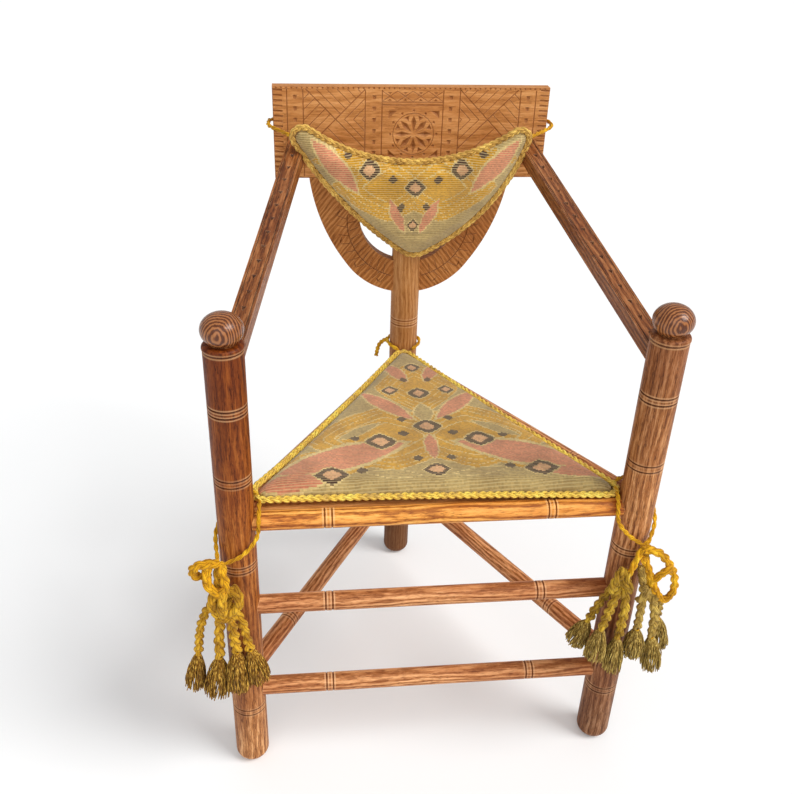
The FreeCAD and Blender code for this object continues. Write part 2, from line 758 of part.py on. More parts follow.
def edging(corners, bows):
    """A closed round tube along the outline: each arc's skin is the ring turned about the arc's centre."""
    path = pad_outline(corners, bows, 0.0)
    at = path.OrderedVertexes[0].Point
    ring = None
    faces = []
    for edge in path.OrderedEdges:
        low, high = edge.FirstParameter, edge.LastParameter
        if (edge.valueAt(low) - at).Length > (edge.valueAt(high) - at).Length:
            low, high = high, low
        if ring is None:
            ring = Part.Circle(at, edge.tangentAt(low), edging_radius).toShape()
        turn = math.degrees(high - low)
        faces.append(ring.revolve(edge.Curve.Center, edge.Curve.Axis, turn))
        ring = ring.rotated(edge.Curve.Center, edge.Curve.Axis, turn)
        at = edge.valueAt(high)
    shell = Part.Shell(faces)
    shell.sewShape()
    tube = Part.Solid(shell)
    if tube.Volume < 0:
        tube.reverse()
    print("edging length", round(path.Length), "volume ratio",
          round(tube.Volume / (math.pi * edging_radius ** 2 * path.Length), 4))
    return tube


def above_rail(rail):
    """The room below a plane that lies on the rail, for what is pressed flat over it."""
    over = (up - rail.along * rail.along.dot(up)).normalize()
    side = rail.along.cross(over)
    reach = rail_radius + soft_gap
    corner = Vector(-post_spacing / 2.0, -reach, -reach)
    block = Part.makeBox(post_spacing, 2.0 * reach, 2.0 * reach, corner)
    place = Matrix(rail.along.x, side.x * -1.0, over.x, rail.middle.x,
                   rail.along.y, side.y * -1.0, over.y, rail.middle.y,
                   rail.along.z, side.z * -1.0, over.z, rail.middle.z, 0, 0, 0, 1)
    return block.transformShape(place)


def beside_post(axis_point, post_radius, gap, angle, corner_radius):
    """A corner of the seat pad that stands clear of a post by the gap."""
    reach = post_radius + gap + edging_radius + corner_radius
    turn = math.radians(angle)
    return Vector(axis_point.x + reach * math.cos(turn), axis_point.y + reach * math.sin(turn), 0)


def largest(shape):
    return max(shape.Solids, key=lambda solid: solid.Volume)


seat_corners = [
    (beside_post(left_axis, front_post_radius, 7.6, 41.3, 18.0), 18.0),
    (beside_post(right_axis, front_post_radius, 1.2, 158.7, 18.0), 18.0),
    (beside_post(rear_axis, rear_post_radius, 1.6, 264.7, 13.0), 13.0),
]
seat_bows = (seat_pad_side_bow, seat_pad_side_bow, seat_pad_side_bow)
tilt = math.radians(seat_pad_tilt)
seat_hinge_y = front_y + seat_pad_height_at
seat_shift = Vector(0, seat_hinge_y * (1.0 - math.cos(tilt)),
                    seat_pad_height - seat_hinge_y * math.sin(tilt))
seat_place = Placement(seat_shift, Rotation(Vector(1, 0, 0), seat_pad_tilt))
seat_pad = pad(seat_corners, seat_bows, seat_pad_half_thickness, seat_pad_rim_half_height)
seat_pad.Placement = seat_place
seat_edging = edging(seat_corners, seat_bows)
seat_edging.Placement = seat_place

rail_room = []
for name in ("front_seat_rail", "left_seat_rail", "right_seat_rail"):
    rail = rails[name]
    half = rail.along * (post_spacing / 2.0)
    rail_room.append(rod(rail.middle - half, rail.middle + half, rail_radius + soft_gap))
board_room = seat_panel(0.0, seat_board_thickness + 2.0 * soft_gap)
seat_pad = largest(seat_pad.cut(rail_room + [board_room]))
pressed = [above_rail(rails[name]) for name in ("left_seat_rail", "right_seat_rail")]
seat_edging = largest(seat_edging.cut(pressed))

# Back cushion: hung by its corners over the arms, its point against the rear post
back_corners = [
    (Vector(-174.0, 4.0, 0), 16.0),
    (Vector(9.0, -176.0, 0), 32.0),
    (Vector(164.0, 2.0, 0), 14.5),
]
back_bows = (-690.0, -318.0, 272.0)
back_place = Placement(Vector(0, crest_front_y - back_pad_corner_forward, back_pad_corner_height),
                       Rotation(Vector(1, 0, 0), 90.0 + back_pad_lean))
back_pad = pad(back_corners, back_bows, back_pad_half_thickness, seat_pad_rim_half_height)
back_pad.Placement = back_place
back_edging = edging(back_corners, back_bows)
back_edging.Placement = back_place
arm_room = arm.block.makeOffsetShape(soft_gap, 0.01, join=2)
post_room = Part.makeCylinder(rear_post_radius + soft_gap, crest_bottom, rear_axis, up)
back_pad = largest(back_pad.cut([arm_room, mirrored(arm_room), post_room]))
back_edging = largest(back_edging.cut([arm_room, mirrored(arm_room), post_room]))

save("seat_cushion", seat_pad)
save("seat_cushion_edging", seat_edging)
save("back_cushion", back_pad)
save("back_cushion_edging", back_edging)

# Cords: straight runs joined by tangent arcs

def cord_path(points):
    edges = []
    radii = []
    last = points[0]
    for before, corner, after in zip(points, points[1:], points[2:]):
        towards = (corner - before).normalize()
        onward = (after - corner).normalize()
        half_turn = towards.getAngle(onward) / 2.0
        shorter = min((corner - before).Length, (after - corner).Length)
        reach = 0.45 * shorter
        radii.append(round(reach / math.tan(half_turn), 1))
        arc_start = corner - towards * reach
        arc_end = corner + onward * reach
        inward = (onward - towards).normalize()
        sagitta = reach * math.cos(half_turn) * math.tan(half_turn / 2.0)
        crown = (arc_start + arc_end) * 0.5 - inward * sagitta
        edges.append(Part.LineSegment(last, arc_start).toShape())
        edges.append(Part.Arc(arc_start, crown, arc_end).toShape())
        last = arc_end
    edges.append(Part.LineSegment(last, points[-1]).toShape())
    return Part.Wire(edges), radii


def cord(name, points, radius):
    """A round tube along the path: one skin per run and per bend, closed by two end discs."""
    path, radii = cord_path(points)
    ring = Part.Circle(points[0], points[1] - points[0], radius).toShape()
    faces = [Part.Face(Part.Wire([ring]))]
    for edge in path.Edges:
        if isinstance(edge.Curve, Part.Circle):
            bend = edge.Curve
            turn = math.degrees(edge.LastParameter - edge.FirstParameter)
            faces.append(ring.revolve(bend.Center, bend.Axis, turn))
            ring = ring.rotated(bend.Center, bend.Axis, turn)
        else:
            run = edge.valueAt(edge.LastParameter) - edge.valueAt(edge.FirstParameter)
            faces.append(ring.extrude(run))
            ring = ring.translated(run)
    faces.append(Part.Face(Part.Wire([ring])))
    shell = Part.Shell(faces)
    shell.sewShape()
    tube = Part.Solid(shell)
    if tube.Volume < 0:
        tube.reverse()
    ratio = tube.Volume / (math.pi * radius ** 2 * path.Length)
    print(name, "radii", radii, "length", round(path.Length), "volume ratio", round(ratio, 4))
    return tube


def around_post(axis_point, spots):
    """Points given as angle round a post, distance off its surface and height."""
    points = []
    for angle, off, height in spots:
        reach = front_post_radius + tie_radius + off
        turn = math.radians(angle)
        points.append(Vector(axis_point.x + reach * math.cos(turn),
                             axis_point.y + reach * math.sin(turn), height))
    return points


def by_left_post(points):
    """Points given from the left front post's axis."""
    return [Vector(left_axis.x + x, left_axis.y + y, z) for x, y, z in points]


def by_right_post(points):
    """Points given from the right front post's axis."""
    return [Vector(right_axis.x + x, right_axis.y + y, z) for x, y, z in points]


def tassel(top, tip):
    along = tip - top
    length = along.Length
    profile = [(0.0, 0.0), (tassel_neck_radius, 0.0), (tassel_neck_radius, 6.0), (8.5, 13.0),
               (11.0, length * 0.5), (tassel_radius, length - 2.0), (tassel_radius - 2.0, length),
               (0.0, length)]
    corners = [Vector(r, 0, z) for r, z in profile]
    solid = Part.Face(Part.makePolygon(corners + [corners[0]])).revolve(Vector(0, 0, 0), up, 360.0)
    solid.Placement = Placement(top, Rotation(up, along))
    return solid


made = {}


def lay(name, shape, clear_of=()):
    """Saves a soft piece once it is trimmed clear of the named ones that it meets."""
    neighbours = [made[other] for other in clear_of]
    if neighbours:
        shape = largest(shape.cut(neighbours))
    made[name] = shape
    save(name, shape)


made["seat_cushion_edging"] = seat_edging
made["back_cushion_edging"] = back_edging

left_knot_at, left_lower_at = by_left_post([(-25, -33, 420), (-19, -42, 367)])
right_knot_at, right_lower_at, right_side_at = by_right_post(
    [(10, -36.5, 423), (-18, -44, 366), (23, -41, 348)])
lay("left_knot", Part.makeSphere(upper_knot_radius, left_knot_at))
lay("right_knot", Part.makeSphere(upper_knot_radius, right_knot_at))
lay("left_lower_knot", Part.makeSphere(lower_knot_radius, left_lower_at))
lay("right_lower_knot", Part.makeSphere(lower_knot_radius, right_lower_at))
lay("right_side_knot", Part.makeSphere(side_knot_radius, right_side_at))

left_front_tie = around_post(left_axis, [(24, 6, 492), (-8, 3.5, 492), (-33, 8, 476), (-33.5, 7, 457),
                                         (-56, 2.6, 440), (-90, 2.4, 427)]) + [left_knot_at]
left_back_tie = [left_knot_at] + around_post(left_axis, [(-155, 2.6, 432), (165, 2.6, 447), (125, 2.6, 467),
                                                         (88, 2.6, 485), (57, 5.0, 500), (33, 6.5, 499)])
right_front_tie = around_post(right_axis, [(160, 4, 492), (189, 3.5, 492), (210.6, 10, 476), (212, 9, 457),
                                           (233, 3.2, 440), (262, 2.6, 429)]) + [right_knot_at]
right_back_tie = [right_knot_at] + around_post(right_axis, [(-40, 2.6, 436), (0, 2.6, 452), (40, 2.6, 470),
                                                            (80, 2.6, 486), (118, 5.0, 500), (145, 5.5, 499)])
lay("left_front_tie", cord("left_front_tie", left_front_tie, tie_radius),
    ["left_knot", "seat_cushion_edging"])
lay("left_back_tie", cord("left_back_tie", left_back_tie, tie_radius),
    ["left_knot", "left_front_tie", "seat_cushion_edging"])
lay("right_front_tie", cord("right_front_tie", right_front_tie, tie_radius),
    ["right_knot", "seat_cushion_edging"])
lay("right_back_tie", cord("right_back_tie", right_back_tie, tie_radius),
    ["right_knot", "right_front_tie", "seat_cushion_edging"])

rear_off = rear_post_radius - front_post_radius
rear_tie = around_post(rear_axis, [(-112, 2.9 + rear_off, 481), (-152, 2.9 + rear_off, 484),
                                   (168, 2.9 + rear_off, 486), (128, 2.9 + rear_off, 485),
                                   (90, 2.9 + rear_off, 483), (52, 2.9 + rear_off, 484),
                                   (12, 2.9 + rear_off, 486), (-28, 2.9 + rear_off, 484),
                                   (-66, 2.9 + rear_off, 481)])
lay("rear_tie", cord("rear_tie", rear_tie, tie_radius), ["seat_cushion_edging"])
tail = [(-27, 12, 483), (-38, 17, 476), (-45, 18, 462), (-47, 17, 446)]
tail = [Vector(rear_axis.x + x, rear_axis.y + y, z) for x, y, z in tail]
lay("rear_tie_tail", cord("rear_tie_tail", tail, tie_radius + 1.2), ["rear_tie"])

crest_back = crest_thickness + tie_radius + soft_gap
side_off = crest_half_width + tie_radius
back_tie = [(-193, -53, 874), (-207, -31, 875), (-side_off - 5.5, -8, 877), (-side_off - 5.5, 10, 878),
            (-side_off - 3, crest_back + 4, 878.5), (-204, crest_back + 1, 878), (-175, crest_back, 876.5),
            (-130, crest_back, 874), (-78, crest_back, 872), (-26, crest_back, 871), (26, crest_back, 871),
            (78, crest_back, 872), (130, crest_back, 874), (175, crest_back, 876.5),
            (204, crest_back + 1, 878), (side_off + 3, crest_back + 4, 878.5), (side_off + 5.5, 10, 878),
            (side_off + 5.5, -8, 877), (204, -32, 875), (182, -53, 873)]
back_tie = [Vector(x, crest_front_y + y, z) for x, y, z in back_tie]
lay("back_tie", cord("back_tie", back_tie, tie_radius), ["back_cushion_edging"])

left_bow = by_left_post([(-29, -34, 424), (-39, -38, 431), (-53, -40, 428), (-63, -40, 412),
                         (-56, -40, 398), (-42, -40, 396), (-31, -38, 404)])
right_bow = by_right_post([(11, -38, 420), (28, -41, 420), (48, -43, 404), (62, -44, 378), (65, -45, 350),
                           (58, -46, 330), (42, -46, 330), (31, -45, 352), (25, -43, 374), (20, -41, 394),
                           (11, -38, 412)])
lay("left_bow_loop", cord("left_bow_loop", left_bow, bow_radius), ["left_knot"])
lay("right_bow_loop", cord("right_bow_loop", right_bow, bow_radius), ["right_knot", "right_side_knot"])
left_strand = by_left_post([(-25, -34, 418), (-31, -40, 397), (-20, -42, 372)])
right_strand = by_right_post([(8, -38, 420), (-2, -43, 398), (-17, -44, 372)])
side_strand = by_right_post([(10, -38, 420), (15, -42, 386), (22, -41, 352)])
lay("left_strand", cord("left_strand", left_strand, plait_radius),
    ["left_knot", "left_bow_loop", "left_lower_knot"])
lay("right_strand", cord("right_strand", right_strand, bow_radius),
    ["right_knot", "right_bow_loop", "right_lower_knot"])
lay("right_side_strand", cord("right_side_strand", side_strand, bow_radius),
    ["right_knot", "right_bow_loop", "right_strand", "right_side_knot"])

drops = {
    "left_1": ([(-21, -42, 368), (-40, -40, 360), (-53, -36, 328), (-61, -33, 292), (-64, -31, 258)],
               (-75, -29, 190), "left_lower_knot"),
    "left_2": ([(-20, -43, 366), (-28, -44, 332), (-32, -43, 296), (-33, -42, 260)],
               (-41, -42, 188), "left_lower_knot"),
    "left_3": ([(-18, -44, 366), (-12, -49, 336), (-10, -50, 306), (-8, -49, 276)],
               (-9, -49, 204), "left_lower_knot"),
    "left_4": ([(-17, -42, 366), (-1, -45, 341), (6, -46, 308), (10, -45, 275)],
               (22, -45, 213), "left_lower_knot"),
    "right_1": ([(-19, -43, 365), (-33, -37, 341), (-42, -28, 305), (-48, -20, 270)],
                (-61, -15, 220), "right_lower_knot"),
    "right_2": ([(-19, -45, 366), (-29, -53, 338), (-35, -53, 310), (-38, -50, 282)],
                (-42, -48, 222), "right_lower_knot"),
    "right_3": ([(-17, -46, 366), (-10, -53, 335), (-10, -53, 300), (-11, -51, 264)],
                (-11, -50, 198), "right_lower_knot"),
    "right_4": ([(22, -42, 348), (17, -47, 326), (17, -48, 302), (18, -47, 276)],
                (18, -46, 222), "right_side_knot"),
    "right_5": ([(24, -43, 348), (36, -49, 322), (41, -48, 290), (43, -46, 257)],
                (54, -44, 190), "right_side_knot"),
    "right_6": ([(25, -41, 347), (46, -36, 327), (54, -30, 302), (57, -25, 274)],
                (72, -18, 208), "right_side_knot"),
}
laid = []
for key, (route, tip, knot) in drops.items():
    side, number = key.split("_")
    from_post = by_left_post if side == "left" else by_right_post
    points = from_post(route)
    name = "%s_drop_%s" % (side, number)
    near = [knot] + [other for other in laid if other.startswith(side)]
    near += ["left_strand"] if side == "left" else ["right_bow_loop", "right_strand", "right_side_strand"]
    lay(name, cord(name, points, plait_radius), near)
    laid.append(name)
    lay("%s_tassel_%s" % (side, number), tassel(points[-1], from_post([tip])[0]), [name])
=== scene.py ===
import math
import random

import bmesh
import bpy
from mathutils import Matrix, Vector, noise
from mathutils.kdtree import KDTree


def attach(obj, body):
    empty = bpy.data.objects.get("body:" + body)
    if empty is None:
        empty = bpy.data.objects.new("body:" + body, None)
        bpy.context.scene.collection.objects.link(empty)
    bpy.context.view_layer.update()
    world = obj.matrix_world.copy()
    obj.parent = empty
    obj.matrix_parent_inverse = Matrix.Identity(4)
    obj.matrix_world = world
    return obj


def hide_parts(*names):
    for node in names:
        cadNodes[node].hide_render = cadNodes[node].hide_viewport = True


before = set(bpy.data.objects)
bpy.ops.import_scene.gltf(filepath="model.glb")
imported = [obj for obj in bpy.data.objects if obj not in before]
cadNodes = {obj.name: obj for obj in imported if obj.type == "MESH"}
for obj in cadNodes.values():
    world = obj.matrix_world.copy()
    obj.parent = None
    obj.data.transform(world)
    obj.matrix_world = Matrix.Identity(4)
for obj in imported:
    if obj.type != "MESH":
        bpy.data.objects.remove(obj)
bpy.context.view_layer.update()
scene = bpy.context.scene
mm = 0.001
print("frame loaded:", len(cadNodes), "nodes")

# Sizes shared by the pieces, in millimetres
chair = {
    "postSpacing": 560.0, "frontPostRadius": 25.5, "rearPostRadius": 24.5, "finialRadius": 26.7,
    "frontPostHeight": 741.5, "collarBead": 8.0, "frontGrooves": (652.0, 546.0, 400.0, 117.0),
    "rearGroove": 530.5, "groovePairGap": 9.5, "railRadius": 14.0, "railGrooveReach": 155.5,
    "railGrooveGap": 10.0, "sideRailFront": 477.7, "sideRailRear": 447.9, "frontRail": 468.3,
    "upperStretcher": 316.3, "lowerStretcher": 148.9, "sideStretcher": 177.5,
    "crestThickness": 22.0, "crestBottom": 790.7, "crestHeight": 144.5, "crestHalfWidth": 219.3,
    "braceThickness": 21.0, "armWidth": 28.0, "armDepth": 21.0, "armAtPost": 707.1,
    "armAtCrest": 864.3, "armHalfSpread": 178.5,
}
halfSpacing = chair["postSpacing"] / 2
postDepth = chair["postSpacing"] * math.sqrt(3) / 2
frontY = (chair["finialRadius"] - chair["rearPostRadius"] - postDepth) / 2
rearY = frontY + postDepth
crestFrontY = rearY - chair["crestThickness"] / 2
braceFrontY = rearY - chair["braceThickness"] / 2
leftAxis = Vector((-halfSpacing, frontY, 0))
rightAxis = Vector((halfSpacing, frontY, 0))
rearAxis = Vector((0, rearY, 0))
up = Vector((0, 0, 1))


# Camera
viewpoint = {"place": (-0.18891, -1.24817, 1.26765), "yaw": 6.93, "pitch": 31.0, "roll": -1.98, "lens": 42.16}


def aimCamera(settings):
    yaw, pitch, roll = (math.radians(settings[key]) for key in ("yaw", "pitch", "roll"))
    forward = Vector((math.sin(yaw) * math.cos(pitch), math.cos(yaw) * math.cos(pitch), -math.sin(pitch)))
    right = Vector((math.cos(yaw), -math.sin(yaw), 0))
    down = forward.cross(right)
    turnedRight = right * math.cos(roll) + down * math.sin(roll)
    turnedDown = down * math.cos(roll) - right * math.sin(roll)
    lens = bpy.data.cameras.new("camera")
    lens.lens = settings["lens"]
    lens.sensor_width = 36
    camera = bpy.data.objects.new("camera", lens)
    axes = Matrix((turnedRight, -turnedDown, -forward)).transposed()
    camera.matrix_world = Matrix.Translation(settings["place"]) @ axes.to_4x4()
    scene.collection.objects.link(camera)
    scene.camera = camera


aimCamera(viewpoint)


# Node helpers
def feed(tree, socket, value):
    if isinstance(value, bpy.types.NodeSocket):
        tree.links.new(value, socket)
    else:
        socket.default_value = value


def put(tree, kind, inputs=None, **settings):
    made = tree.nodes.new(kind)
    for name, value in settings.items():
        setattr(made, name, value)
    for name, value in (inputs or {}).items():
        feed(tree, made.inputs[name], value)
    return made


def calc(tree, operation, *values):
    made = put(tree, "ShaderNodeMath", operation=operation)
    for socket, value in zip(made.inputs, values):
        feed(tree, socket, value)
    return made.outputs[0]


def vecCalc(tree, operation, *values):
    made = put(tree, "ShaderNodeVectorMath", operation=operation)
    for socket, value in zip(made.inputs, values):
        feed(tree, socket, value)
    return made.outputs["Value" if operation in ("LENGTH", "DISTANCE", "DOT_PRODUCT") else "Vector"]


def blendColours(tree, factor, first, second, kind="MIX"):
    made = put(tree, "ShaderNodeMix", data_type="RGBA", blend_type=kind)
    for index, value in ((0, factor), (6, first), (7, second)):
        if isinstance(value, tuple) and len(value) == 3:
            value = (*value, 1)
        feed(tree, made.inputs[index], value)
    return made.outputs[2]


def spread(tree, value, low, high, toLow=0.0, toHigh=1.0):
    made = put(tree, "ShaderNodeMapRange", clamp=True)
    for index, number in enumerate((value, low, high, toLow, toHigh)):
        feed(tree, made.inputs[index], number)
    return made.outputs[0]


def ramp(tree, factor, stops, kind="LINEAR"):
    made = put(tree, "ShaderNodeValToRGB", {"Fac": factor})
    made.color_ramp.interpolation = kind
    while len(made.color_ramp.elements) < len(stops):
        made.color_ramp.elements.new(1)
    for element, (place, colour) in zip(made.color_ramp.elements, stops):
        element.position = place
        element.color = (*colour, 1)
    return made.outputs["Color"]


def streaks(tree, vector, stretch, scale, detail=2.0, roughness=0.5):
    stretched = vecCalc(tree, "MULTIPLY", vector, stretch)
    made = put(tree, "ShaderNodeTexNoise", {"Vector": stretched, "Scale": scale, "Detail": detail,
                                            "Roughness": roughness})
    return made.outputs["Fac"]


def startGroup(name, takes, gives):
    group = bpy.data.node_groups.new(name, "ShaderNodeTree")
    for label, kind, value in takes:
        socket = group.interface.new_socket(label, in_out="INPUT", socket_type="NodeSocket" + kind)
        if value is not None:
            socket.default_value = value
    for label, kind in gives:
        group.interface.new_socket(label, in_out="OUTPUT", socket_type="NodeSocket" + kind)
    return group, put(group, "NodeGroupInput").outputs, put(group, "NodeGroupOutput").inputs


def useGroup(tree, group, inputs):
    made = put(tree, "ShaderNodeGroup", node_tree=group)
    for name, value in inputs.items():
        feed(tree, made.inputs[name], value)
    return made.outputs


def startMaterial(name):
    material = bpy.data.materials.new(name)
    material.use_nodes = True
    tree = material.node_tree
    return material, tree, tree.nodes["Principled BSDF"].inputs


# Oak: growth rings, long streaks and the short dark pores of the open grain
def makeOakGrain():
    group, taken, given = startGroup(
        "oakGrain",
        [("Vector", "Vector", None), ("Pith", "Vector", (0.0, 0.06, 0.0)), ("Ring Width", "Float", 0.007),
         ("Ring Share", "Float", 0.2)],
        [("Grain", "Float"), ("Pores", "Float"), ("Blotch", "Float")])
    place = taken["Vector"]
    warp = streaks(group, place, (1, 1, 0.25), 30, 4, 0.6)
    warp = calc(group, "MULTIPLY", calc(group, "SUBTRACT", warp, 0.5), 0.02)
    fromPith = vecCalc(group, "MULTIPLY", vecCalc(group, "ADD", place, taken["Pith"]), (1, 1, 0.035))
    reach = calc(group, "ADD", vecCalc(group, "LENGTH", fromPith), warp)
    turn = calc(group, "MULTIPLY", calc(group, "DIVIDE", reach, taken["Ring Width"]), math.tau)
    rings = calc(group, "MULTIPLY_ADD", calc(group, "SINE", turn), 0.5, 0.5)
    fine = streaks(group, place, (1, 1, 0.07), 430, 5, 0.75)
    grain = calc(group, "MULTIPLY", calc(group, "SUBTRACT", rings, fine), taken["Ring Share"])
    grain = calc(group, "ADD", grain, fine)
    pores = streaks(group, place, (1, 1, 0.14), 760, 2, 0.6)
    pores = spread(group, pores, 0.55, 0.64)
    early = spread(group, rings, 0.1, 0.9, 1.0, 0.45)
    feed(group, given["Grain"], grain)
    feed(group, given["Pores"], calc(group, "MULTIPLY", pores, early))
    feed(group, given["Blotch"], streaks(group, place, (1, 1, 0.3), 17, 2))
    return group


# Rubbed edges, where the finish has gone thin
def makeEdgeWear():
    group, taken, given = startGroup(
        "edgeWear", [("Vector", "Vector", None), ("Radius", "Float", 0.0016)], [("Mask", "Float")])
    rounded = put(group, "ShaderNodeBevel", {"Radius": taken["Radius"]}, samples=4)
    plain = put(group, "ShaderNodeNewGeometry")
    bend = calc(group, "SUBTRACT", 1.0, vecCalc(group, "DOT_PRODUCT", rounded.outputs[0], plain.outputs["Normal"]))
    patch = streaks(group, taken["Vector"], (1, 1, 1), 70, 2)
    mask = calc(group, "MULTIPLY", spread(group, bend, 0.02, 0.2), spread(group, patch, 0.35, 0.62))
    feed(group, given["Mask"], mask)
    return group


# Dark old wax in cuts below a flat face
def makeWaxedCuts():
    group, taken, given = startGroup(
        "waxedCuts",
        [("Vector", "Vector", None), ("Face Point", "Vector", (0.0, 0.0, 0.0)),
         ("Face Normal", "Vector", (0.0, -1.0, 0.0))], [("Mask", "Float")])
    away = vecCalc(group, "SUBTRACT", taken["Face Point"], taken["Vector"])
    depth = vecCalc(group, "DOT_PRODUCT", away, taken["Face Normal"])
    normal = put(group, "ShaderNodeNewGeometry").outputs["Normal"]
    facing = spread(group, vecCalc(group, "DOT_PRODUCT", normal, taken["Face Normal"]), 0.2, 0.4)
    shallow = calc(group, "LESS_THAN", depth, 0.005)
    line = calc(group, "MULTIPLY", spread(group, depth, 0.00004, 0.00032), 0.62)
    mask = calc(group, "MULTIPLY_ADD", spread(group, depth, 0.0012, 0.0028), 0.3, line)
    mask = calc(group, "MULTIPLY", calc(group, "MULTIPLY", mask, facing), shallow)
    feed(group, given["Mask"], mask)
    return group


oakGrain = makeOakGrain()
edgeWear = makeEdgeWear()
waxedCuts = makeWaxedCuts()

oakLooks = {
    "post": {"dark": (0.10, 0.022, 0.0035), "middle": (0.24, 0.066, 0.012), "light": (0.42, 0.155, 0.042),
             "pore": (0.045, 0.010, 0.003), "worn": (0.62, 0.34, 0.16), "stain": (0.66, 0.52, 0.42),
             "rough": 0.46, "coat": 0.0, "gloss": 0.2, "wear": 0.7, "pores": 0.75, "rings": 0.008,
             "ringShare": 0.12},
    "finial": {"dark": (0.11, 0.028, 0.006), "middle": (0.24, 0.075, 0.019), "light": (0.40, 0.155, 0.05),
               "pore": (0.07, 0.017, 0.005), "worn": (0.5, 0.26, 0.12), "stain": (0.72, 0.6, 0.5),
               "rough": 0.26, "coat": 0.3, "gloss": 0.3, "wear": 0.3, "pores": 0.45, "rings": 0.0042,
               "ringShare": 0.5},
    "rail": {"dark": (0.27, 0.085, 0.022), "middle": (0.56, 0.235, 0.085), "light": (0.84, 0.44, 0.20),
             "pore": (0.13, 0.034, 0.010), "worn": (0.85, 0.52, 0.28), "stain": (0.68, 0.5, 0.38),
             "rough": 0.5, "coat": 0.0, "gloss": 0.22, "wear": 0.5, "pores": 0.75, "rings": 0.006,
             "ringShare": 0.2},
    "paleRail": {"dark": (0.34, 0.095, 0.012), "middle": (0.74, 0.29, 0.045), "light": (1.0, 0.50, 0.12),
                 "pore": (0.16, 0.036, 0.006), "worn": (0.95, 0.6, 0.28), "stain": (0.74, 0.54, 0.4),
                 "rough": 0.45, "coat": 0.05, "gloss": 0.25, "wear": 0.4, "pores": 0.8, "rings": 0.0075,
                 "ringShare": 0.25},
    "board": {"dark": (0.44, 0.17, 0.042), "middle": (0.58, 0.245, 0.07), "light": (0.72, 0.35, 0.125),
              "pore": (0.24, 0.075, 0.018), "worn": (0.78, 0.46, 0.24), "stain": (0.85, 0.76, 0.66),
              "rough": 0.5, "coat": 0.0, "gloss": 0.2, "wear": 0.5, "pores": 0.5, "rings": 0.006,
              "ringShare": 0.16},
    # The brace's oak is the board's oak painted darker, as painted shade
    "brace": {"dark": (0.26, 0.09, 0.018), "middle": (0.42, 0.16, 0.04), "light": (0.58, 0.26, 0.08),
              "pore": (0.15, 0.045, 0.010), "worn": (0.68, 0.38, 0.18), "stain": (0.8, 0.68, 0.56),
              "rough": 0.5, "coat": 0.0, "gloss": 0.2, "wear": 0.5, "pores": 0.5, "rings": 0.006,
              "ringShare": 0.16},
    "arm": {"dark": (0.105, 0.026, 0.006), "middle": (0.27, 0.086, 0.021), "light": (0.48, 0.20, 0.07),
            "pore": (0.035, 0.009, 0.003), "worn": (0.62, 0.34, 0.17), "stain": (0.62, 0.48, 0.38),
            "rough": 0.36, "coat": 0.12, "gloss": 0.25, "wear": 0.85, "pores": 0.7, "rings": 0.006,
            "ringShare": 0.15},
}


# Distance from the nearest turned groove; marks are (middle, half gap) along the piece
def grooveDistance(tree, alongPiece, marks):
    nearest = None
    for middle, halfGap in marks:
        off = calc(tree, "ABSOLUTE", calc(tree, "SUBTRACT", alongPiece, middle * mm))
        off = calc(tree, "ABSOLUTE", calc(tree, "SUBTRACT", off, halfGap * mm))
        nearest = off if nearest is None else calc(tree, "MINIMUM", nearest, off)
    return nearest


